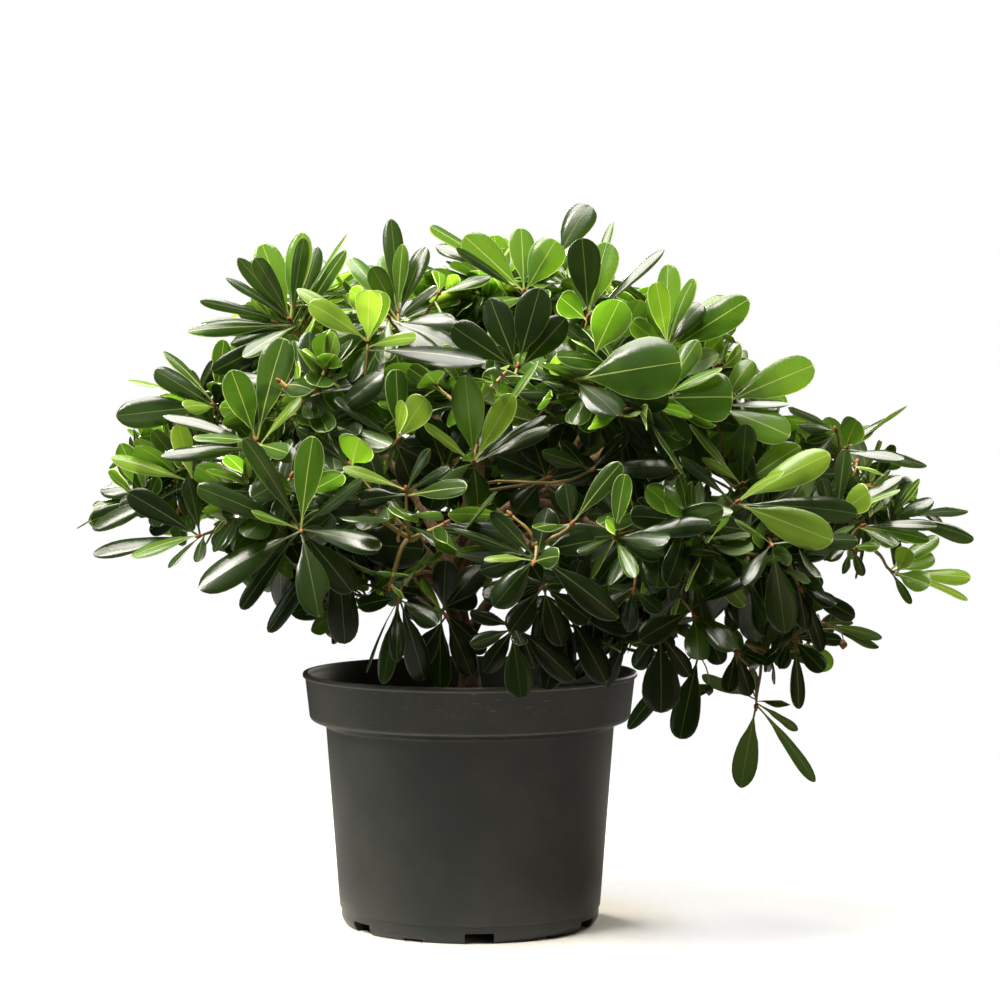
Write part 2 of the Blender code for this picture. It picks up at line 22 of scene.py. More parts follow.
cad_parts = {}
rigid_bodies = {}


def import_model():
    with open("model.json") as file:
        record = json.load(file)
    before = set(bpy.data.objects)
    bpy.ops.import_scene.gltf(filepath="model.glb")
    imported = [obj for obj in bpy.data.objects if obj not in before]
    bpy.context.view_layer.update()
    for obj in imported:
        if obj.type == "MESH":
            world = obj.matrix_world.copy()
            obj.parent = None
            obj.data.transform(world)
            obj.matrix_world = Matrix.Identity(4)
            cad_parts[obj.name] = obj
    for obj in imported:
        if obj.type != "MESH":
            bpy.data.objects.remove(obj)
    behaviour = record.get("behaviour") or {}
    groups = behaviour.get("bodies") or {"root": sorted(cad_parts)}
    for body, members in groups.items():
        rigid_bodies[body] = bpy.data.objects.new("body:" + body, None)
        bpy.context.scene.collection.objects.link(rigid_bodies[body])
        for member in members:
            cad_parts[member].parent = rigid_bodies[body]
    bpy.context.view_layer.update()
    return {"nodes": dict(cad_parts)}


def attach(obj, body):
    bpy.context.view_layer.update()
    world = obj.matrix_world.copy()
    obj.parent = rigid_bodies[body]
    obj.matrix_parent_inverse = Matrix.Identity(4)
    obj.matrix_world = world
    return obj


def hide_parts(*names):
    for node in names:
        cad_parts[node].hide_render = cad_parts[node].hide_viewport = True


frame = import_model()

MM = 0.001


# %% [markdown]
# ## The camera
#
# The photograph was taken a little above the middle of the crown, with a long lens from about two metres.
# Its horizon and the pot's axis fix where the camera looks: both are pixels of the photograph, which is
# 1000 pixels wide. A lens and a sensor width give the same angle of view as a focal length in pixels.

# %% Place the camera
PHOTO_WIDTH_PX = 1000
POT_AXIS_PX = 470
HORIZON_PX = 404
FOCAL_PX = 2770.6
SENSOR_MM = 36.0
EYE = Vector((0.0, -2.15, 0.4025))

middle_px = PHOTO_WIDTH_PX / 2
yaw = math.atan((middle_px - POT_AXIS_PX) / FOCAL_PX)
pitch = math.atan((middle_px - HORIZON_PX) / FOCAL_PX)
lens = bpy.data.cameras.new("camera")
lens.sensor_width = SENSOR_MM
lens.lens = FOCAL_PX / PHOTO_WIDTH_PX * SENSOR_MM
camera = bpy.data.objects.new("camera", lens)
camera.location = EYE
camera.rotation_euler = (math.pi / 2 - pitch, 0.0, -yaw)
bpy.context.scene.collection.objects.link(camera)
bpy.context.scene.camera = camera
print("camera: lens", round(lens.lens, 1), "mm, pitch", round(math.degrees(pitch), 2), "degrees down")


# %% [markdown]
# ## Tools for materials
#
# Colours are written as they look on a screen, as sRGB hex values, and the shaders want linear light, so
# one function turns them. Another adds a node with its settings and its links: a value that is a socket
# is linked, a node stands for its first output, and any other value is set on the socket itself.

# %% Material helpers
def linear(hex_colour):
    """An sRGB hex colour as linear light, by the curve that screens use."""
    channels = [int(hex_colour[i : i + 2], 16) / 255 for i in (1, 3, 5)]
    return [c / 12.92 if c <= 0.04045 else ((c + 0.055) / 1.055) ** 2.4 for c in channels] + [1.0]


def add_node(owner, kind, inputs=None, **settings):
    """A new node of this kind. inputs gives its sockets, by name or number, a value, node or socket."""
    tree = owner.node_tree
    node = tree.nodes.new(kind)
    for name, value in settings.items():
        setattr(node, name, value)
    for socket, value in (inputs or {}).items():
        if isinstance(value, bpy.types.Node):
            value = value.outputs[0]
        if isinstance(value, bpy.types.NodeSocket):
            tree.links.new(value, node.inputs[socket])
        else:
            node.inputs[socket].default_value = value
    return node


def new_material(name):
    """An empty material."""
    material = bpy.data.materials.new(name)
    material.use_nodes = True
    material.node_tree.nodes.clear()
    return material


def per_metre(size_mm):
    """A texture's scale for features of this size."""
    return 1.0 / (size_mm * MM)


# The sockets of a Mix node that mixes colours: its share, its two colours, and its result.
SHARE, FIRST, SECOND, MIXED = 0, 6, 7, 2


# %% [markdown]
# ## Tools for shapes
#
# Most pieces here are many small things, so their corners are worked out as arrays and joined into one
# mesh. A piece rides on the plant's one body and stands for its solids, which it hides.

# %% Shape helpers
def add_piece(name, mesh, slot, *nodes):
    """Links a mesh as a piece that rides on the plant and stands for these nodes."""
    piece = bpy.data.objects.new(name, mesh)
    bpy.context.scene.collection.objects.link(piece)
    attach(piece, "root")
    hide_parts(*nodes)
    return piece


def mesh_of(name, corners, faces, materials, tags=None, crease_deg=None):
    """A smooth mesh from its corners and faces. tags gives each face's material."""
    mesh = bpy.data.meshes.new(name)
    mesh.from_pydata(corners, [], faces)
    for material in materials:
        mesh.materials.append(material)
    if tags is not None:
        mesh.polygons.foreach_set("material_index", np.asarray(tags, dtype=np.int32))
    mesh.shade_smooth()
    if crease_deg is not None:
        mesh.set_sharp_from_angle(angle=math.radians(crease_deg))
    return mesh


def taper(first, last, share):
    """The value at a share of the way from first to last."""
    return first + (last - first) * share


def ring_faces(rings, sides, first=0):
    """The quads between the rings of corners of a round shape."""
    faces = []
    for ring in range(rings - 1):
        for side in range(sides):
            after = (side + 1) % sides
            low, high = first + ring * sides, first + (ring + 1) * sides
            faces.append((low + side, low + after, high + after, high + side))
    return faces


# %% [markdown]
# ## The pot's sizes
#
# These are the sizes of the solid pot, written again: a 26 cm container with a beaded lip over a deep
# collar, a wall that tapers gently, a foot band that steps in, and a foot ring with drainage notches.

# %% Pot sizes
CLEAR = 0.0003
POT_HEIGHT = 0.195
LIP_RADIUS = 0.130
LIP_HEIGHT = 0.0036
POT_WALL = 0.0022
COLLAR_TOP_RADIUS = 0.1281
COLLAR_FOOT_RADIUS = 0.1244
COLLAR_FOOT = 0.1590
COLLAR_SLOPE = 0.0050
WALL_TOP_RADIUS = 0.1120
WALL_FOOT_RADIUS = 0.1014
FOOT_BAND_TOP = 0.0135
FOOT_BAND_STEP = 0.0012
FOOT_BAND_BASE = 0.0050
FOOT_RADIUS = 0.0965
FOOT_RING_WIDTH = 0.0070
FLOOR_UNDERSIDE = 0.0050
FLOOR_INSIDE = 0.0080
CENTRE_PAD_RADIUS = 0.031
PAD_SLOPE = 0.003
NOTCHES = 6
FIRST_NOTCH_DEG = -86.0
NOTCH_DEPTH = (0.084, 0.108)
TALL_NOTCH = (0.022, 0.0082)
LOW_NOTCH = (0.016, 0.0022)
print("pot:", POT_HEIGHT * 1000, "mm high,", LIP_RADIUS * 2000, "mm across its lip")

# %% [markdown]
# ## The pot's plastic
#
# The container is injection-moulded polypropylene, coloured dark grey in the mass. Its skin is satin: a
# broad soft highlight and no mirror image. A thin haze of dust makes clouds on it, and the collar is
# painted paler towards its lip: painted light. Where hands and shelves have worn the collar there are
# pale scuffs, much longer round the pot than they are high. Both of its edges are painted pale: wear,
# and a painted highlight along each. The inside is painted nearly black: painted shade in the pot's
# hollow, and the compost's stain. Polypropylene has an index of refraction of about 1.49. The mould's
# fine grain is about a third of a millimetre, drawn here at nearly one so that it shows.

# %% Plastic material
PLASTIC_IOR = 1.49
DUST_CLOUD_MM = 42.0
SCUFF_MM = 11.0
SCUFF_STRETCH = 8.0
GRAIN_MM = 0.9
EDGE_WEAR_AND_SHEEN = 0.0007
EDGE_PALE = 0.3


def dust_lit_collar_and_scuffs(material, place):
    """The plastic's dust, with painted light on the collar, and its share of scuffs and pale edges."""
    cloud = add_node(material, "ShaderNodeTexNoise", {
        "Vector": place, "Scale": per_metre(DUST_CLOUD_MM), "Detail": 5.0, "Roughness": 0.6,
    })
    dust = add_node(material, "ShaderNodeMapRange", {"Value": cloud, 1: 0.40, 2: 0.80, 4: 0.6})
    height = add_node(material, "ShaderNodeSeparateXYZ", {0: place}).outputs["Z"]
    high = add_node(material, "ShaderNodeMapRange", {"Value": height, 1: COLLAR_FOOT, 2: POT_HEIGHT})
    # Painted light: the collar is painted paler towards its lip, on top of the dust clouds.
    dust_and_lit_collar = add_node(material, "ShaderNodeMath", {0: high, 1: 0.4, 2: dust}, operation="MULTIPLY_ADD")
    dusty_and_lit = add_node(material, "ShaderNodeMix", {
        SHARE: dust_and_lit_collar, FIRST: linear("#1e2220"), SECOND: linear("#383731"),
    }, data_type="RGBA")
    flat = add_node(material, "ShaderNodeMapping", {"Vector": place, "Scale": (1.0, 1.0, SCUFF_STRETCH)})
    streaks = add_node(material, "ShaderNodeTexNoise", {
        "Vector": flat, "Scale": per_metre(SCUFF_MM), "Detail": 3.0, "Roughness": 0.55,
    })
    rare = add_node(material, "ShaderNodeMapRange", {"Value": streaks, 1: 0.63, 2: 0.76, 4: 0.6})
    scuffs_and_edge_sheen = add_node(material, "ShaderNodeMath", {0: rare, 1: high}, operation="MULTIPLY")
    # Both edges are painted as pale lines: wear, and a painted highlight along each edge.
    for edge in (COLLAR_FOOT, POT_HEIGHT - LIP_HEIGHT):
        line = add_node(material, "ShaderNodeMath", {0: height, 1: edge, 2: EDGE_WEAR_AND_SHEEN}, operation="COMPARE")
        scuffs_and_edge_sheen = add_node(material, "ShaderNodeMath", {
            0: line, 1: EDGE_PALE, 2: scuffs_and_edge_sheen,
        }, operation="MULTIPLY_ADD")
    return dusty_and_lit.outputs[MIXED], scuffs_and_edge_sheen


def stain_and_shade_inside(material, place, clean):
    """Compost stain and painted shade on the pot's inside, where the surface looks towards its axis."""
    level = add_node(material, "ShaderNodeVectorMath", {0: place, 1: (1.0, 1.0, 0.0)}, operation="MULTIPLY")
    outward = add_node(material, "ShaderNodeVectorMath", {0: level}, operation="NORMALIZE")
    facing = add_node(material, "ShaderNodeTexCoord").outputs["Normal"]
    inward = add_node(material, "ShaderNodeVectorMath", {
        0: outward, 1: facing,
    }, operation="DOT_PRODUCT").outputs["Value"]
    # Painted shade: the pot's hollow is painted nearly black, together with the compost's stain.
    stain_and_shade = add_node(material, "ShaderNodeMapRange", {"Value": inward, 1: -0.2, 2: -0.7, 4: 0.85})
    return add_node(material, "ShaderNodeMix", {
        SHARE: stain_and_shade, FIRST: clean, SECOND: linear("#100e0a"),
    }, data_type="RGBA").outputs[MIXED]


def moulded_plastic():
    """The pot's skin: satin, duller on its scuffs and pale edges, with the mould's grain."""
    material = new_material("polypropylene_moulded")
    place = add_node(material, "ShaderNodeTexCoord").outputs["Object"]
    dusty_and_lit, scuffs_and_edge_sheen = dust_lit_collar_and_scuffs(material, place)
    # Scuffs and edges take a pale colour: wear, and on the edges a painted highlight.
    rubbed_and_edge_sheen = add_node(material, "ShaderNodeMix", {
        SHARE: scuffs_and_edge_sheen, FIRST: dusty_and_lit, SECOND: linear("#8d8c82"),
    }, data_type="RGBA")
    colour = stain_and_shade_inside(material, place, rubbed_and_edge_sheen.outputs[MIXED])
    grain = add_node(material, "ShaderNodeTexNoise", {
        "Vector": place, "Scale": per_metre(GRAIN_MM), "Detail": 2.0,
    })
    bump = add_node(material, "ShaderNodeBump", {"Strength": 0.25, "Distance": 0.0001, "Height": grain})
    worn = add_node(material, "ShaderNodeMapRange", {"Value": scuffs_and_edge_sheen, 1: 0.0, 2: 0.4, 3: 0.46, 4: 0.7})
    skin = add_node(material, "ShaderNodeBsdfPrincipled", {
        "Base Color": colour, "Roughness": worn, "IOR": PLASTIC_IOR, "Normal": bump,
    })
    add_node(material, "ShaderNodeOutputMaterial", {"Surface": skin})
    return material


plastic = moulded_plastic()
print("plastic: dust clouds", DUST_CLOUD_MM, "mm, scuffs", SCUFF_MM, "mm long")

# %% [markdown]
# ## The pot
#
# A pot is a turned shape, so its half section is enough: each point is a radius and a height. Moulded
# plastic has no knife edges, so each corner of the section is eased by a short curve before it is turned.
# The notches are cut by a Boolean with plain blocks, as the solid's are.

# %% Turn the pot
POT_SIDES = 192
EASE_STEPS = 4
EASE_MOST = 0.48
CREASE_DEG = 40.0


def eased(profile):
    """The section with each corner rounded by its third number, through a short curve."""
    points = [Vector((radius, height)) for radius, height, _ in profile]
    line = [points[0]]
    for before, corner, after, (_, _, ease) in zip(points, points[1:], points[2:], profile[1:]):
        if ease == 0.0:
            line.append(corner)
            continue
        first = corner + (before - corner).normalized() * min(ease, (before - corner).length * EASE_MOST)
        last = corner + (after - corner).normalized() * min(ease, (after - corner).length * EASE_MOST)
        for step in range(EASE_STEPS + 1):
            share = step / EASE_STEPS
            line.append(first.lerp(corner, share).lerp(corner.lerp(last, share), share))
    return [*line, points[-1]]


def pot_section():
    """From the middle of the floor, up the inside, over the lip, down the outside, to the pad."""
    lip_foot = POT_HEIGHT - LIP_HEIGHT
    band = WALL_FOOT_RADIUS - FOOT_BAND_STEP
    ring = FOOT_RADIUS - FOOT_RING_WIDTH
    return [
        (0.0, FLOOR_INSIDE, 0.0),
        (FOOT_RADIUS - POT_WALL, FLOOR_INSIDE, 0.003),
        (WALL_FOOT_RADIUS - POT_WALL, FOOT_BAND_TOP, 0.002),
        (WALL_TOP_RADIUS - POT_WALL, COLLAR_FOOT - COLLAR_SLOPE, 0.002),
        (COLLAR_FOOT_RADIUS - POT_WALL, COLLAR_FOOT, 0.002),
        (COLLAR_TOP_RADIUS - POT_WALL, POT_HEIGHT, 0.0011),
        (LIP_RADIUS, POT_HEIGHT, 0.0017),
        (LIP_RADIUS, lip_foot, 0.0015),
        (COLLAR_TOP_RADIUS, lip_foot, 0.0006),
        (COLLAR_FOOT_RADIUS, COLLAR_FOOT, 0.0030),
        (WALL_TOP_RADIUS, COLLAR_FOOT - COLLAR_SLOPE, 0.0016),
        (WALL_FOOT_RADIUS, FOOT_BAND_TOP, 0.0008),
        (band, FOOT_BAND_TOP, 0.0004),
        (band, FOOT_BAND_BASE, 0.0030),
        (FOOT_RADIUS, 0.0, 0.0012),
        (ring, 0.0, 0.0010),
        (ring, FLOOR_UNDERSIDE, 0.0010),
        (CENTRE_PAD_RADIUS + PAD_SLOPE, FLOOR_UNDERSIDE, 0.0010),
        (CENTRE_PAD_RADIUS, 0.0, 0.0010),
        (0.0, 0.0, 0.0),
    ]


def turned(section, sides):
    """Corners and faces of a section that starts and ends on the axis, turned round it."""
    corners = [(0.0, 0.0, section[0].y)]
    for point in section[1:-1]:
        for side in range(sides):
            turn = math.tau * side / sides
            corners.append((point.x * math.cos(turn), point.x * math.sin(turn), point.y))
    corners.append((0.0, 0.0, section[-1].y))
    rings = len(section) - 2
    faces = [(low, high, above, beside) for low, beside, above, high in ring_faces(rings, sides, 1)]
    last = 1 + (rings - 1) * sides
    for side in range(sides):
        after = (side + 1) % sides
        faces.append((0, 1 + side, 1 + after))
        faces.append((len(corners) - 1, last + after, last + side))
    return corners, faces


def cut_notches(pot):
    """Cuts the blocks of all notches out of the foot ring, and applies the cut."""
    blocks = bmesh.new()
    for index in range(NOTCHES * 2):
        width, height = TALL_NOTCH if index % 2 == 0 else LOW_NOTCH
        turn = math.radians(FIRST_NOTCH_DEG) + index * math.pi / NOTCHES
        size = Matrix.Diagonal((NOTCH_DEPTH[1] - NOTCH_DEPTH[0], width, height * 2, 1.0))
        place = Matrix.Rotation(turn, 4, "Z") @ Matrix.Translation((sum(NOTCH_DEPTH) / 2, 0.0, 0.0))
        bmesh.ops.create_cube(blocks, size=1.0, matrix=place @ size)
    mesh = bpy.data.meshes.new("notch_blocks")
    blocks.to_mesh(mesh)
    blocks.free()
    cutter = bpy.data.objects.new("notch_blocks", mesh)
    bpy.context.scene.collection.objects.link(cutter)
    cut = pot.modifiers.new("notches", "BOOLEAN")
    cut.operation = "DIFFERENCE"
    cut.object = cutter
    bpy.context.view_layer.update()
    graph = bpy.context.evaluated_depsgraph_get()
    pot.data = bpy.data.meshes.new_from_object(pot.evaluated_get(graph))
    pot.modifiers.clear()
    bpy.data.objects.remove(cutter)


pot_mesh = mesh_of("pot_shell", *turned(eased(pot_section()), POT_SIDES), [plastic])
pot = add_piece("pot_shell", pot_mesh, "pot_plastic", "pot")
cut_notches(pot)
pot.data.set_sharp_from_angle(angle=math.radians(CREASE_DEG))
print("pot:", len(pot.data.polygons), "faces")

# %% [markdown]
# ## The compost
#
# Potting compost is dark, fibrous and crumbly. Its surface could be a flat disc with bump, but from above
# the crumbs have real height, so the rings of a disc are lifted by layers of noise, and loose bark chips
# lie on them. It lies inside the pot as the solid does, and is closed below.

# %% Compost material
CRUMB_MM = 5.0


def fibrous_compost(name, dark, light):
    """Compost: darker in its hollows and paler on its crumbs. Damp organic stuff is almost matt."""
    material = new_material(name)
    place = add_node(material, "ShaderNodeTexCoord").outputs["Object"]
    crumbs = add_node(material, "ShaderNodeTexNoise", {
        "Vector": place, "Scale": per_metre(CRUMB_MM), "Detail": 8.0, "Roughness": 0.7,
    })
    pale = add_node(material, "ShaderNodeMapRange", {"Value": crumbs, 1: 0.38, 2: 0.70})
    colour = add_node(material, "ShaderNodeMix", {
        SHARE: pale, FIRST: linear(dark), SECOND: linear(light),
    }, data_type="RGBA")
    bump = add_node(material, "ShaderNodeBump", {"Strength": 0.8, "Distance": 0.002, "Height": crumbs})
    skin = add_node(material, "ShaderNodeBsdfPrincipled", {
        "Base Color": colour.outputs[MIXED], "Roughness": 0.92, "Normal": bump,
    })
    add_node(material, "ShaderNodeOutputMaterial", {"Surface": skin})
    return material


compost_skin = fibrous_compost("compost_fibrous", "#120c08", "#3b291b")
chip_skin = fibrous_compost("bark_chip_shredded", "#2a1a10", "#6a4a30")
print("compost: crumbs", CRUMB_MM, "mm")

# %% [markdown]
# The surface is a low dome, crowned where the trunk stands. Broad lumps and small crumbs lift it, and
# both die away at the rim and under the trunk, where the compost was pressed down.

# %% Compost surface
SOIL_EDGE = 0.1665
SOIL_CROWN = 0.1720
SOIL_RINGS = 46
SOIL_SIDES = 144
PRESSED_RADIUS = 0.0132
PRESSED_RUN = 0.022
PRESSED_LEAST = 0.15
RIM_CALM = 0.004
LUMP_HEIGHT, LUMP_SPAN = 0.0015, 0.022
CRUMB_HEIGHT, CRUMB_SPAN = 0.0016, 0.005
CRUMB_LAYER = 3.0


def soil_rim():
    """The compost's radius where its surface meets the pot."""
    rise = (SOIL_EDGE - COLLAR_FOOT) / (POT_HEIGHT - COLLAR_FOOT)
    return taper(COLLAR_FOOT_RADIUS, COLLAR_TOP_RADIUS, rise) - POT_WALL - CLEAR


def soil_height(x, y):
    """The height of the surface: a low dome, with lumps and crumbs away from the trunk and the rim."""
    out = math.hypot(x, y)
    dome = taper(SOIL_CROWN, SOIL_EDGE, (out / soil_rim()) ** 2)
    calm = min(1.0, max(PRESSED_LEAST, (out - PRESSED_RADIUS) / PRESSED_RUN))
    calm *= min(1.0, (soil_rim() - out) / RIM_CALM)
    lumps = noise.fractal(Vector((x, y, 0.0)) / LUMP_SPAN, 1.0, 2.0, 3)
    crumbs = noise.fractal(Vector((x, y, CRUMB_LAYER)) / CRUMB_SPAN, 0.7, 2.0, 3)
    return dome + max(0.0, calm) * (LUMP_HEIGHT * lumps + CRUMB_HEIGHT * crumbs)


def build_compost():
    """The compost as a closed turned shape that fills the pot, with its top raised by the noise."""
    rim = soil_rim()
    section = [Vector((0.0, SOIL_CROWN))]
    section += [Vector((rim * (index + 1) / SOIL_RINGS, SOIL_CROWN)) for index in range(SOIL_RINGS)]
    section += [
        Vector((COLLAR_FOOT_RADIUS - POT_WALL - CLEAR, COLLAR_FOOT + CLEAR)),
        Vector((WALL_TOP_RADIUS - POT_WALL - CLEAR, COLLAR_FOOT - COLLAR_SLOPE + CLEAR)),
        Vector((WALL_FOOT_RADIUS - POT_WALL - CLEAR, FOOT_BAND_TOP + CLEAR)),
        Vector((FOOT_RADIUS - POT_WALL - CLEAR, FLOOR_INSIDE + CLEAR)),
        Vector((0.0, FLOOR_INSIDE + CLEAR)),
    ]
    corners, faces = turned(section, SOIL_SIDES)
    surface = 1 + SOIL_RINGS * SOIL_SIDES
    raised = [(x, y, soil_height(x, y)) for x, y, _ in corners[:surface]] + corners[surface:]
    faces = [face[::-1] for face in faces]
    return mesh_of("compost_surface", raised, faces, [compost_skin])


compost = add_piece("compost_surface", build_compost(), "compost", "compost")
print("compost:", len(compost.data.polygons), "faces")

# %% [markdown]
# Composted bark leaves loose chips on top, some millimetres long. Each is a flat flake with five corners
# round it, thickest in its middle, with its own size, length, turn and tilt, so that no two look alike.

# %% Bark chips on the compost
CHIPS = 420
CHIP_OUTLINE = [(1, 0, 0), (0.3, 0.8, 0), (-0.9, 0.4, 0), (-0.6, -0.7, 0), (0.5, -0.6, 0)]
CHIP_PEAKS = [(0, 0, 0.5), (0, 0, -0.5)]
CHIP_AREA = (0.03, 0.95)
CHIP_SIZE = (0.0012, 0.0042)
CHIP_LONG = (1.0, 2.2)
CHIP_FLAT = (0.4, 0.9)
CHIP_TILT = 0.35
CHIP_LIFT = 0.2
CHIP_CREASE_DEG = 30.0


def build_chips():
    """Small flat chips of ten faces, each with its own size and turn, lying on the surface."""
    source = random.Random("bark chips")
    around = len(CHIP_OUTLINE)
    sides = [(i, (i + 1) % around, around) for i in range(around)]
    sides += [((i + 1) % around, i, around + 1) for i in range(around)]
    corners, faces = [], []
    for _ in range(CHIPS):
        out = math.sqrt(source.uniform(*CHIP_AREA)) * (soil_rim() - RIM_CALM)
        turn = source.uniform(0.0, math.tau)
        x, y = out * math.cos(turn), out * math.sin(turn)
        size = source.uniform(*CHIP_SIZE)
        spin = Matrix.Rotation(source.uniform(0.0, math.tau), 3, "Z")
        spin = spin @ Matrix.Rotation(source.gauss(0.0, CHIP_TILT), 3, "X")
        stretch = Matrix.Diagonal((source.uniform(*CHIP_LONG), 1.0, source.uniform(*CHIP_FLAT)))
        base = len(corners)
        middle = Vector((x, y, soil_height(x, y) + size * CHIP_LIFT))
        for corner in CHIP_OUTLINE + CHIP_PEAKS:
            corners.append(tuple(middle + spin @ (stretch @ (Vector(corner) * size))))
        faces += [tuple(base + i for i in face) for face in sides]
    return mesh_of("compost_chips", corners, faces, [chip_skin], crease_deg=CHIP_CREASE_DEG)


add_piece("compost_chips", build_chips(), "compost", "compost")
print("chips:", CHIPS)

# %% [markdown]
# ## The limbs, by the source's rule
#
# The table of masses and the rule are those of the solids: each mass of foliage has a heart, a reach, the
# limb that its bough grows from, and a number that says how far its shoots turn up to the light (+) or
# hang (-). From these come the trunk, the boughs and the stems. The same rule then goes on to finer twigs.

# %% The masses of foliage
Mass = namedtuple("Mass", "heart reach parent place turn_up")
FOLIAGE = {
    "crest_middle": Mass((0.020, 0.020, 0.464), 0.092, "trunk", 1.00, 1.0),
    "shoulder_left": Mass((-0.202, -0.005, 0.378), 0.095, "trunk", 0.80, 0.35),
    "front_left": Mass((-0.138, -0.150, 0.322), 0.096, "trunk", 0.58, 0.2),
    "upper_front": Mass((0.000, -0.145, 0.395), 0.097, "trunk", 0.90, 0.5),
    "upper_front_right": Mass((0.095, -0.120, 0.405), 0.097, "trunk", 0.84, 0.5),
    "upper_right": Mass((0.160, -0.030, 0.425), 0.100, "trunk", 0.94, 0.5),
    "arm_right": Mass((0.290, 0.010, 0.335), 0.098, "trunk", 0.70, 0.05),
    "upper_back_left": Mass((-0.115, 0.105, 0.410), 0.100, "trunk", 0.88, 0.5),
    "upper_back": Mass((0.010, 0.135, 0.415), 0.100, "trunk", 0.74, 0.5),
    "upper_back_right": Mass((0.130, 0.100, 0.410), 0.100, "trunk", 0.82, 0.5),
    "low_left": Mass((-0.072, -0.085, 0.250), 0.088, "trunk", 0.40, -0.5),
    "low_right": Mass((0.100, -0.085, 0.252), 0.092, "trunk", 0.44, -0.4),
    "crest_left": Mass((-0.130, -0.020, 0.456), 0.095, "shoulder_left", 0.50, 0.9),
    "crest_middle_left": Mass((-0.055, -0.045, 0.461), 0.092, "upper_front", 0.45, 0.9),
    "crest_right": Mass((0.090, 0.000, 0.470), 0.094, "crest_middle", 0.45, 1.0),
    "upper_front_left": Mass((-0.115, -0.115, 0.396), 0.097, "front_left", 0.45, 0.5),
    "shoulder_right": Mass((0.222, -0.045, 0.378), 0.096, "upper_right", 0.45, 0.2),
    "arm_left": Mass((-0.222, -0.065, 0.328), 0.088, "shoulder_left", 0.62, 0.1),
    "front_middle_left": Mass((-0.045, -0.190, 0.306), 0.096, "front_left", 0.62, 0.0),
    "front_middle": Mass((0.045, -0.185, 0.302), 0.095, "upper_front", 0.52, 0.0),
    "front_right": Mass((0.135, -0.150, 0.316), 0.097, "upper_front_right", 0.52, 0.1),
    "arm_right_front": Mass((0.208, -0.095, 0.302), 0.097, "arm_right", 0.50, -0.1),
    "arm_right_far": Mass((0.318, -0.045, 0.290), 0.088, "arm_right", 0.70, 0.0),
    "hanging": Mass((0.208, -0.060, 0.222), 0.108, "low_right", 0.60, -0.9),
    "back_left": Mass((-0.165, 0.105, 0.318), 0.100, "upper_back_left", 0.55, 0.1),
    "back_middle": Mass((-0.030, 0.180, 0.312), 0.100, "upper_back", 0.58, 0.1),
    "back_right": Mass((0.100, 0.165, 0.316), 0.100, "upper_back_right", 0.55, 0.1),
    "arm_right_back": Mass((0.215, 0.095, 0.325), 0.100, "arm_right", 0.42, 0.1),
}
print("masses of foliage:", len(FOLIAGE))

# %% [markdown]
# A limb could be drawn by hand, but a rule keeps all of them alike and lets the twigs follow. The trunk
# leans a little on its way up. A bough leaves its parent rising, bends along a smooth curve and arrives in
# line with its mass, and its radius tapers evenly, as wood does between two forks.

# %% The trunk's and the boughs' middle lines
TRUNK_FOOT = Vector((0.0, 0.0, SOIL_CROWN + CLEAR))
TRUNK_TOP = Vector((-0.012, 0.004, 0.272))
TRUNK_PLUMB = 0.006
TRUNK_RADIUS = 0.0088
TRUNK_TOP_RADIUS = 0.0066
FLARE = 0.0042
FLARE_HEIGHT = 0.007
TRUNK_POINTS = 9
MAIN_BOUGH = (0.0052, 0.0031)
SIDE_BOUGH = (0.0039, 0.0026)
BOUGH_POINTS = 6
BOUGH_RISE = 0.55
BOUGH_REACH = 0.42
CROWN_MIDDLE = Vector((0.03, 0.0, 0.30))
STEM_LENGTH = 0.034


def trunk_points(count):
    """The trunk's middle line with its radius at each point, the first step plumb for a flat foot."""
    plumb = TRUNK_FOOT + Vector((0.0, 0.0, TRUNK_PLUMB))
    line = [TRUNK_FOOT]
    for index in range(count):
        share = index / (count - 1)
        lean = share * share * (3 - 2 * share)
        point = plumb.lerp(TRUNK_TOP, lean)
        point.z = taper(plumb.z, TRUNK_TOP.z, share)
        line.append(point)
    points = []
    for point in line:
        above = point.z - TRUNK_FOOT.z
        share = above / (TRUNK_TOP.z - TRUNK_FOOT.z)
        flare = FLARE * math.exp(-above / FLARE_HEIGHT)
        points.append((point, taper(TRUNK_RADIUS, TRUNK_TOP_RADIUS, share) + flare))
    return points


def along(points, share):
    """The place and direction at a share of the length of a limb's points."""
    place = min(max(share, 0.0), 1.0) * (len(points) - 1)
    index = min(int(place), len(points) - 2)
    first, second = points[index][0], points[index + 1][0]
    return first.lerp(second, place - index), (second - first).normalized()


def limb_points(start, set_out, end, arrive, radii, count=BOUGH_POINTS):
    """One tapering limb: it leaves its parent rising, and arrives in line with what it carries."""
    chord = end - start
    leave = (chord.normalized() * (1 - BOUGH_RISE) + set_out * BOUGH_RISE).normalized()
    handles = [start, start + leave * chord.length * BOUGH_REACH]
    handles += [end - arrive * chord.length * BOUGH_REACH, end]
    points = []
    for index in range(count):
        share = index / (count - 1)
        row = handles
        while len(row) > 1:
            row = [first.lerp(second, share) for first, second in zip(row, row[1:])]
        points.append((row[0], taper(radii[0], radii[1], share)))
    return points


def outward(heart):
    """From the middle of the crown through a mass's heart."""
    return (heart - CROWN_MIDDLE).normalized()


def shoot_axis(heart, turn_up):
    """Which way the shoots of a mass grow: outwards, turned up to the light or hanging."""
    return (outward(heart) + Vector((0.0, 0.0, turn_up))).normalized()


def stem_direction(heart, turn_up):
    """Which way a mass's stem runs: half way between outwards and the way its shoots grow."""
    return (outward(heart) + shoot_axis(heart, turn_up)).normalized()


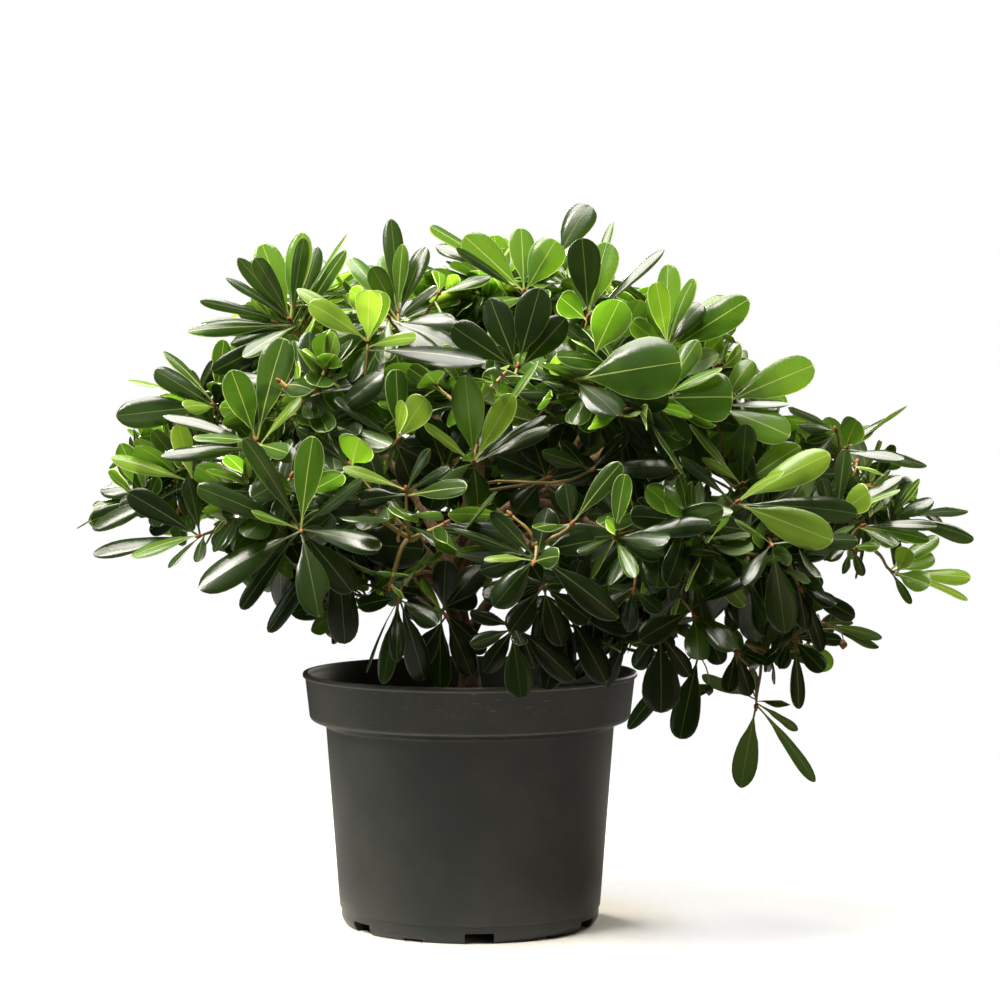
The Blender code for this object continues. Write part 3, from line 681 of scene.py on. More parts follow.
def bough_ends():
    """For each bough: where it starts and sets out, where it ends and arrives, and its radii."""
    lines, ends = {"trunk": trunk_points(TRUNK_POINTS)}, {}
    for name, mass in FOLIAGE.items():
        heart = Vector(mass.heart)
        arrive = stem_direction(heart, mass.turn_up)
        start, set_out = along(lines[mass.parent], mass.place)
        radii = MAIN_BOUGH if mass.parent == "trunk" else SIDE_BOUGH
        ends[name] = (start, set_out, heart - arrive * STEM_LENGTH, arrive, radii)
        lines[name] = limb_points(*ends[name])
    return ends


BOUGHS = bough_ends()
print("boughs:", len(BOUGHS))

# %% [markdown]
# ## Bark
#
# The stem of this shrub is reddish brown under a thin grey skin that splits into short upright fissures;
# young twigs are smooth and tan. The relief is in the mesh: every ring of a limb's tube is pushed out and
# in by noise that is stretched along the limb, so the fissures run the way the limb grows. On the trunk a
# fissure is about 3 mm apart from the next and half a millimetre deep.

# %% Bark material
BARK_IOR = 1.45
TRUNK_FLAKE_MM = 3.0
BOUGH_FLAKE_MM = 2.0
FLAKE_STRETCH = 0.35


def bark(name, dark, light, flake_mm, roughness):
    """Bark, darker in its fissures than on its ridges."""
    material = new_material(name)
    place = add_node(material, "ShaderNodeTexCoord").outputs["Object"]
    stretched = add_node(material, "ShaderNodeMapping", {
        "Vector": place, "Scale": (1.0, 1.0, FLAKE_STRETCH),
    })
    flakes = add_node(material, "ShaderNodeTexNoise", {
        "Vector": stretched, "Scale": per_metre(flake_mm), "Detail": 6.0, "Roughness": 0.65,
    })
    ridge = add_node(material, "ShaderNodeMapRange", {"Value": flakes, 1: 0.35, 2: 0.68})
    colour = add_node(material, "ShaderNodeMix", {
        SHARE: ridge, FIRST: linear(dark), SECOND: linear(light),
    }, data_type="RGBA")
    bump = add_node(material, "ShaderNodeBump", {"Strength": 0.5, "Distance": 0.0006, "Height": flakes})
    skin = add_node(material, "ShaderNodeBsdfPrincipled", {
        "Base Color": colour.outputs[MIXED], "Roughness": roughness, "IOR": BARK_IOR, "Normal": bump,
    })
    add_node(material, "ShaderNodeOutputMaterial", {"Surface": skin})
    return material


trunk_bark = bark("bark_fissured_trunk", "#2b1a12", "#7a5a44", TRUNK_FLAKE_MM, 0.85)
bough_bark = bark("bark_smooth_bough", "#46301c", "#8a6e4c", BOUGH_FLAKE_MM, 0.75)
print("bark: flakes", TRUNK_FLAKE_MM, "mm on the trunk and", BOUGH_FLAKE_MM, "mm on the boughs")

# %% [markdown]
# Every limb and twig is one closed tube. It could be a curve with a bevel, but a tube that is worked out
# ring by ring can carry relief in its corners. The noise for it is looked up on a cylinder that is
# squeezed along the limb, so the fissures come out long and run the way the limb grows.

# %% A tube with relief
SWELL_SCALE = 0.37


def tube(points, sides, relief=0.0, grain=0.003, stretch=5.0):
    """Corners and faces of a closed tube through (place, radius) points, with bark relief."""
    corners, side, run = [], None, 0.0
    for index, (place, radius) in enumerate(points):
        before = points[max(index - 1, 0)][0]
        ahead = (points[min(index + 1, len(points) - 1)][0] - before).normalized()
        run += (place - before).length
        side = ahead.orthogonal() if side is None else side - ahead * side.dot(ahead)
        side.normalize()
        other = ahead.cross(side)
        for step in range(sides):
            turn = math.tau * step / sides
            out = radius
            if relief:
                spot = Vector((math.cos(turn) * radius, math.sin(turn) * radius, run / stretch)) / grain
                out -= relief * abs(noise.noise(spot)) * 2 - relief * 0.5 * noise.noise(spot * SWELL_SCALE)
            corners.append(place + (side * math.cos(turn) + other * math.sin(turn)) * out)
    faces = ring_faces(len(points), sides)
    faces.append(tuple(reversed(range(sides))))
    faces.append(tuple(range(len(corners) - sides, len(corners))))
    return corners, faces


class Joined:
    """Many small meshes gathered into one, with a material for each face."""

    def __init__(self):
        self.corners, self.faces, self.tags = [], [], []

    def add(self, corners, faces, tag):
        base = len(self.corners)
        self.corners += [tuple(corner) for corner in corners]
        self.faces += [tuple(base + i for i in face) for face in faces]
        self.tags += [tag] * len(faces)


# %% [markdown]
# The trunk stands on low buttresses, where its roots spread into the compost. Each bough swells into a
# collar at its foot, which covers the small gap that the solids leave there.

# %% Trunk and boughs
TRUNK_RINGS = 84
TRUNK_SIDES = 48
BOUGH_RINGS = 56
BOUGH_SIDES = 18
COLLAR_SWELL = 0.45
COLLAR_RUN = 0.006
ROOT_LOBES = 5
ROOT_LOBE_DEPTH = 0.13
ROOT_INSET = 0.6
ROOT_RUN = 1.6
TRUNK_RELIEF = {"relief": 0.0006, "grain": 0.0032, "stretch": 4.5}
BOUGH_RELIEF = {"relief": 0.00035, "grain": 0.0022, "stretch": 4.0}


def build_trunk():
    """The trunk, with low buttresses in its root flare."""
    points = trunk_points(TRUNK_RINGS)
    corners, faces = tube(points, TRUNK_SIDES, **TRUNK_RELIEF)
    shaped = []
    for index, corner in enumerate(corners):
        middle = points[index // TRUNK_SIDES][0]
        ray = corner - middle
        low = math.exp(-(middle.z - TRUNK_FOOT.z) / (FLARE_HEIGHT * ROOT_RUN))
        turn = math.atan2(ray.y, ray.x)
        lobe = math.sin(ROOT_LOBES * turn) - ROOT_INSET
        shaped.append(middle + ray * (1 + ROOT_LOBE_DEPTH * low * lobe))
    return mesh_of("trunk_bark", [tuple(c) for c in shaped], faces, [trunk_bark])


def build_boughs():
    """Every bough as a tube that swells into a collar where it leaves its parent."""
    joined = Joined()
    for name, ends in BOUGHS.items():
        points, run = [], 0.0
        line = limb_points(*ends, count=BOUGH_RINGS)
        for index, (place, radius) in enumerate(line):
            run += (place - line[max(index - 1, 0)][0]).length
            points.append((place, radius * (1 + COLLAR_SWELL * math.exp(-run / COLLAR_RUN))))
        joined.add(*tube(points, BOUGH_SIDES, **BOUGH_RELIEF), 0)
    return mesh_of("boughs_bark", joined.corners, joined.faces, [bough_bark])


trunk = add_piece("trunk_bark", build_trunk(), "bark", "trunk")
BOUGH_NODES = [f"bough_{name}" for name in FOLIAGE]
boughs = add_piece("boughs_bark", build_boughs(), "bark", *BOUGH_NODES)
print("bark:", len(trunk.data.polygons) + len(boughs.data.polygons), "faces")

# %% [markdown]
# ## Leaf materials
#
# A leaf of this plant is thick and leathery under a clear waxy cuticle: its upper side is glossy, with an
# index of refraction of about 1.45, and its lower side is paler and duller. Light also passes through it,
# which makes the leaves at the top glow yellow-green when the light is behind them. So each leaf mixes a
# glossy shader with a translucent one. Its midrib is paler than the blade. Its thin rolled margin is pale
# too: a painted highlight, where the edge catches the light. Paler tones take lit copies of the midrib and
# the margin, darker tones shaded copies: painted light.
#
# Each leaf takes one of five plain tones, which are dealt out by spray: the deepest is dull with shade and
# the youngest is lime. Only the relief is a pattern: side veins about 6 mm apart, and a net between them
# that is drawn a little coarser than life to show.

# %% Leaf materials
LEAF_IOR = 1.45
UPPER_ROUGHNESS, LOWER_ROUGHNESS = 0.24, 0.6
UPPER_SHINE, LOWER_SHINE = 0.65, 0.2
SIDE_VEINS = 9.0
VEIN_SLANT = 2.2
VEIN_EDGE = 0.10
NET_ACROSS = 12.0
NET_ALONG = 30.0
NET_EDGE = 0.16
NET_HEIGHT = 0.6


def vein_relief(material):
    """Side veins that slant forward from the midrib, with a fine net between them."""
    blade = add_node(material, "ShaderNodeUVMap", uv_map="blade")
    parts = add_node(material, "ShaderNodeSeparateXYZ", {0: blade})
    centred = add_node(material, "ShaderNodeMath", {0: parts.outputs["X"], 1: 0.5}, operation="SUBTRACT")
    aside = add_node(material, "ShaderNodeMath", {0: centred}, operation="ABSOLUTE")
    slant = add_node(material, "ShaderNodeMath", {0: aside, 1: VEIN_SLANT}, operation="MULTIPLY")
    count = add_node(material, "ShaderNodeMath", {
        0: parts.outputs["Y"], 1: SIDE_VEINS,
    }, operation="MULTIPLY")
    phase = add_node(material, "ShaderNodeMath", {0: count, 1: slant}, operation="SUBTRACT")
    wave = add_node(material, "ShaderNodeMath", {0: phase, 1: 0.5}, operation="PINGPONG")
    vein = add_node(material, "ShaderNodeMapRange", {"Value": wave, 1: 0.0, 2: VEIN_EDGE, 3: 1.0, 4: 0.0})
    spread = add_node(material, "ShaderNodeMapping", {
        "Vector": blade, "Scale": (NET_ACROSS, NET_ALONG, 1.0),
    })
    net = add_node(material, "ShaderNodeTexVoronoi", {
        "Vector": spread, "Scale": 1.0,
    }, feature="DISTANCE_TO_EDGE")
    mesh_vein = add_node(material, "ShaderNodeMapRange", {
        "Value": net, 1: 0.0, 2: NET_EDGE, 3: NET_HEIGHT, 4: 0.0,
    })
    return add_node(material, "ShaderNodeMath", {0: vein, 1: mesh_vein}, operation="MAXIMUM")


def leaf_skin(name, upper, lower, glow, through, relief=True, shine=UPPER_SHINE):
    """A leaf's surface: its two sides' colours, the colour and share of light that passes, its shine."""
    material = new_material(name)
    behind = add_node(material, "ShaderNodeNewGeometry").outputs["Backfacing"]
    colour = add_node(material, "ShaderNodeMix", {
        SHARE: behind, FIRST: linear(upper), SECOND: linear(lower),
    }, data_type="RGBA")
    dull = add_node(material, "ShaderNodeMapRange", {
        "Value": behind, 3: UPPER_ROUGHNESS, 4: LOWER_ROUGHNESS,
    })
    gloss = add_node(material, "ShaderNodeMapRange", {"Value": behind, 3: shine, 4: LOWER_SHINE})
    inputs = {
        "Base Color": colour.outputs[MIXED], "Roughness": dull, "IOR": LEAF_IOR,
        "Specular IOR Level": gloss,
    }
    passing = {"Color": linear(glow)}
    if relief:
        veins = vein_relief(material)
        bump = add_node(material, "ShaderNodeBump", {"Strength": 0.07, "Distance": 0.0004, "Height": veins})
        bump.invert = True
        inputs["Normal"] = bump
        net = add_node(material, "ShaderNodeBump", {"Strength": 0.4, "Distance": 0.0005, "Height": veins})
        passing["Normal"] = net
    skin = add_node(material, "ShaderNodeBsdfPrincipled", inputs)
    light = add_node(material, "ShaderNodeBsdfTranslucent", passing)
    both = add_node(material, "ShaderNodeMixShader", {0: through, 1: skin, 2: light})
    add_node(material, "ShaderNodeOutputMaterial", {"Surface": both})
    return material


TONES = {
    "deep": leaf_skin("leaf_leathery_deep", "#161f10", "#3a4630", "#3c6010", 0.16, shine=0.3),
    "dark": leaf_skin("leaf_leathery_dark", "#1d2a13", "#4c5a3a", "#527c16", 0.24),
    "middle": leaf_skin("leaf_leathery_middle", "#2e421a", "#6a7840", "#6aa01c", 0.42),
    "light": leaf_skin("leaf_leathery_light", "#46642a", "#809050", "#84b424", 0.50),
    "young": leaf_skin("leaf_leathery_young", "#6c8a30", "#9aac5c", "#9cc038", 0.52),
}
# The midrib is paler than the blade, in a shaded and a lit copy that follow the leaf's tone: painted light.
midrib_shaded = leaf_skin("leaf_midrib_shaded", "#465230", "#6c7545", "#8c9a40", 0.20, relief=False)
midrib_lit = leaf_skin("leaf_midrib_lit", "#93a058", "#a5b070", "#c8dc70", 0.36, relief=False)
# The pale margin is a painted highlight where the rolled edge catches the light, in a shaded and a lit
# copy.
margin_shaded_highlight = leaf_skin("leaf_margin_shaded_highlight", "#333f24", "#5a6640", "#88a044", 0.24, relief=False)
margin_lit_highlight = leaf_skin("leaf_margin_lit_highlight", "#8ea462", "#a6b878", "#dcf094", 0.46, relief=False)
dry_edge = leaf_skin("leaf_dry_brown", "#5e4222", "#86683c", "#8a5c28", 0.15, relief=False)
LEAF_MATERIALS = [midrib_shaded, midrib_lit, margin_shaded_highlight, margin_lit_highlight, *TONES.values(), dry_edge]
MIDRIB, MARGIN, BLADE, DRY = 0, 2, 4, len(LEAF_MATERIALS) - 1
# Tones from this one on take the lit copies of the midrib and the margin.
LIT_COPIES_FROM = 2
TONE_NAMES = list(TONES)
print("leaf tones:", ", ".join(TONE_NAMES))

# %% [markdown]
# ## One leaf
#
# The blade is spoon-shaped: a wedge that widens to about seven tenths of its length and ends in a round
# tip. It is a single sheet of twelve rows with eight corners each: a rolled margin strip, the blade and
# the midrib. The middle line bends back along an arc, the sides fold down, and a little twist and a wavy
# edge make every leaf its own.

# %% Leaf shape
LEAF_ROWS = 12
LEAF_COLUMNS = 8
TIP_CROWDING = 1.7
LAST_SHARES = (0.985, 1.0)
WEDGE_POWER = 1.15
NECK = 0.45
TIP_NARROWED = 0.8
STALK_HALF = 0.0008
MARGIN_WIDTH, MARGIN_MOST = 0.00045, 0.3
MARGIN_ROLL = 0.0006
RIB_HALF, RIB_MOST = (0.0006, 0.00018), 0.4
RIB_GROOVE = 0.00025
FOLD_POWER, FOLD_SCALE = 1.6, 0.6
SLENDER_HALF = 0.004
WAVE_TURN = 9.0
BEND_POWER = 1.3
TEST_ROWS = (3, 6, 9, 11)
TEST_COLUMNS = (0, 3, 7)
BITTEN_ROWS = slice(6, 10)
BITE = np.array([0.78, 0.46, 0.40, 0.66])

SHARES = 1 - (1 - np.linspace(0.0, 1.0, LEAF_ROWS)) ** TIP_CROWDING
SHARES[-2:] = LAST_SHARES

Leaf = namedtuple("Leaf", "length width point bend fold twist wave phase tone harm", defaults=("",))


def half_widths(leaf):
    """Half the leaf's width at each row: a wedge that widens to a blunt or a more pointed tip."""
    neck = np.clip(SHARES / NECK, 0.0, 1.0)
    outline = SHARES ** WEDGE_POWER * np.clip(1 - SHARES ** 2, 0.0, 1.0) ** leaf.point
    outline = outline * neck * neck * (3 - 2 * neck)
    half = np.maximum(outline / outline.max() * leaf.length * leaf.width / 2, STALK_HALF)
    half[-1] *= TIP_NARROWED
    return half


def leaf_sheet(leaf):
    """A leaf's corners, row by row, with +Y along it, +Z out of its upper side and its root at zero."""
    half = half_widths(leaf)
    rim = np.minimum(MARGIN_WIDTH, half * MARGIN_MOST)
    rib = np.minimum(taper(*RIB_HALF, SHARES), half * RIB_MOST)
    across = np.stack([-half, rim - half, -half * 0.5, -rib, rib, half * 0.5, half - rim, half], axis=1)
    if leaf.harm == "bitten":
        across[BITTEN_ROWS, :3] *= BITE[:, None]
    lift = -leaf.fold * np.abs(across) ** FOLD_POWER / half.max() ** FOLD_SCALE
    full = np.minimum(1.0, half / SLENDER_HALF)[:, None]
    lift[:, (0, -1)] -= MARGIN_ROLL * full
    lift[:, 3:5] -= RIB_GROOVE * full
    edge = (across / half.max()) ** 2
    lift += leaf.wave * edge * np.sin(leaf.phase + SHARES * WAVE_TURN)[:, None] * np.sign(across)
    angle = leaf.bend * SHARES ** BEND_POWER
    middle = (angle[1:] + angle[:-1]) / 2
    step = np.diff(SHARES) * leaf.length
    ahead = np.concatenate([[0.0], np.cumsum(step * np.cos(middle))])
    down = np.concatenate([[0.0], np.cumsum(step * np.sin(middle))])
    roll = leaf.twist * SHARES
    side = across * np.cos(roll)[:, None] - lift * np.sin(roll)[:, None]
    rise = across * np.sin(roll)[:, None] + lift * np.cos(roll)[:, None]
    y = ahead[:, None] + rise * np.sin(angle)[:, None]
    z = -down[:, None] + rise * np.cos(angle)[:, None]
    return np.stack([side, y, z], axis=2)


def grid_faces(rows, columns):
    """The quads between rows of corners, row by row."""
    firsts = [row * columns + column for row in range(rows - 1) for column in range(columns - 1)]
    return [(first, first + 1, first + columns + 1, first + columns) for first in firsts]


def leaf_tags():
    """Whether each quad of a leaf is midrib, margin or blade."""
    tags = np.full((LEAF_ROWS - 1, LEAF_COLUMNS - 1), BLADE)
    tags[:, (0, -1)], tags[-1] = MARGIN, MARGIN
    tags[:, 3], tags[0] = MIDRIB, MIDRIB
    return tags.ravel()


LEAF_FACES = np.array(grid_faces(LEAF_ROWS, LEAF_COLUMNS))
LEAF_TAGS = leaf_tags()


def tags_of(leaf):
    """Each face's material: paler tones take the rib's and margin's lit copies, and harmed places are dry.
    """
    tags = LEAF_TAGS + np.where(LEAF_TAGS == BLADE, leaf.tone, int(leaf.tone >= LIT_COPIES_FROM))
    rows = tags.reshape(LEAF_ROWS - 1, LEAF_COLUMNS - 1)
    if leaf.harm == "bitten":
        rows[BITTEN_ROWS.start - 1 : BITTEN_ROWS.stop, 0] = DRY
    if leaf.harm == "dry tip":
        rows[-1], rows[-2, :2], rows[-3, 0] = DRY, DRY, DRY
    return tags


UV_ACROSS = np.array([0.0, 0.04, 0.25, 0.47, 0.53, 0.75, 0.96, 1.0])
LEAF_UV = np.stack(np.broadcast_arrays(UV_ACROSS[None, :], SHARES[:, None]), axis=2).reshape(-1, 2)
print("one leaf:", len(LEAF_FACES), "faces")

# %% [markdown]
# ## What the photograph shows
#
# A rule alone grows the right kind of crown, but not this one. So the whorls that can be told apart in
# the photograph are grown too, and for that the camera turns a pixel and a depth into a place.
#
# The crown's edge against the sky is a line through a few pixels, and each opening is an ellipse with a
# middle and two half widths. Leaves that the rule adds stay inside the one and out of the others.

# %% Pixels and places
EYE_TURN = camera.rotation_euler.to_matrix()


def place_at(px, py, depth):
    """The place at this pixel whose y is depth."""
    ray = EYE_TURN @ Vector((px - middle_px, middle_px - py, -FOCAL_PX))
    return EYE + ray * ((depth - EYE.y) / ray.y)


def pixels_of(places):
    """The pixels at which places are seen."""
    seen = (np.asarray(places) - np.array(EYE)) @ np.array(EYE_TURN)
    scale = -FOCAL_PX / seen[:, 2]
    return middle_px + seen[:, 0] * scale, middle_px - seen[:, 1] * scale


CROWN_TOP = [
    (86, 522), (104, 484), (120, 440), (150, 404), (178, 372), (205, 358), (222, 326), (238, 300),
    (250, 262), (300, 250), (345, 268), (380, 262), (420, 252), (450, 240), (520, 236), (600, 236),
    (612, 275), (655, 290), (700, 306), (736, 320), (752, 362), (790, 396), (815, 412), (850, 424),
    (905, 452), (926, 505), (975, 525),
]
CROWN_FOOT = [
    (86, 530), (120, 524), (165, 540), (195, 552), (225, 550), (245, 585), (270, 600), (300, 622),
    (330, 642), (346, 640), (356, 604), (400, 606), (445, 650), (500, 668), (600, 684), (622, 688),
    (632, 720), (660, 712), (690, 700), (716, 692), (740, 702), (770, 690), (785, 668), (820, 668),
    (842, 630), (868, 588), (900, 590), (975, 580),
]
SKY = [
    (412, 638, 12, 17), (378, 637, 9, 22), (492, 611, 8, 11), (503, 643, 5, 11), (561, 637, 8, 10),
    (635, 677, 12, 24), (436, 252, 12, 15), (329, 246, 9, 9), (190, 360, 14, 8), (140, 528, 8, 8),
    (206, 527, 6, 8), (719, 487, 9, 8), (877, 559, 13, 10), (836, 570, 16, 11), (711, 667, 10, 8),
    (685, 663, 5, 7), (755, 687, 5, 13), (866, 608, 26, 20),
]
RAGGED_PX = 3.0


def inside_crown(sheet):
    """Whether a leaf stays inside the crown's edge in the photograph and out of its openings."""
    px, py = pixels_of(sheet.reshape(-1, 3))
    top = np.interp(px, *zip(*CROWN_TOP)) - RAGGED_PX
    foot = np.interp(px, *zip(*CROWN_FOOT)) + RAGGED_PX
    inside = (py > top) & (py < foot)
    for x, y, half_width, half_height in SKY:
        inside &= ((px - x) / half_width) ** 2 + ((py - y) / half_height) ** 2 > 1
    return bool(np.all(inside))


print("crown's edge:", len(CROWN_TOP) + len(CROWN_FOOT), "points")

# %% [markdown]
# A whorl hangs on a mass and has its centre's pixel and its depth. Each of its leaves has its tip's pixel,
# how many millimetres the tip is nearer (-) or further than the centre, its width in millimetres, and how
# its upper side is turned: 0 towards the viewer, 90 up, 180 away, or so that it gleams under the sky or
# the window. Then comes its tone, where that isn't the deepest, and any harm that it has.

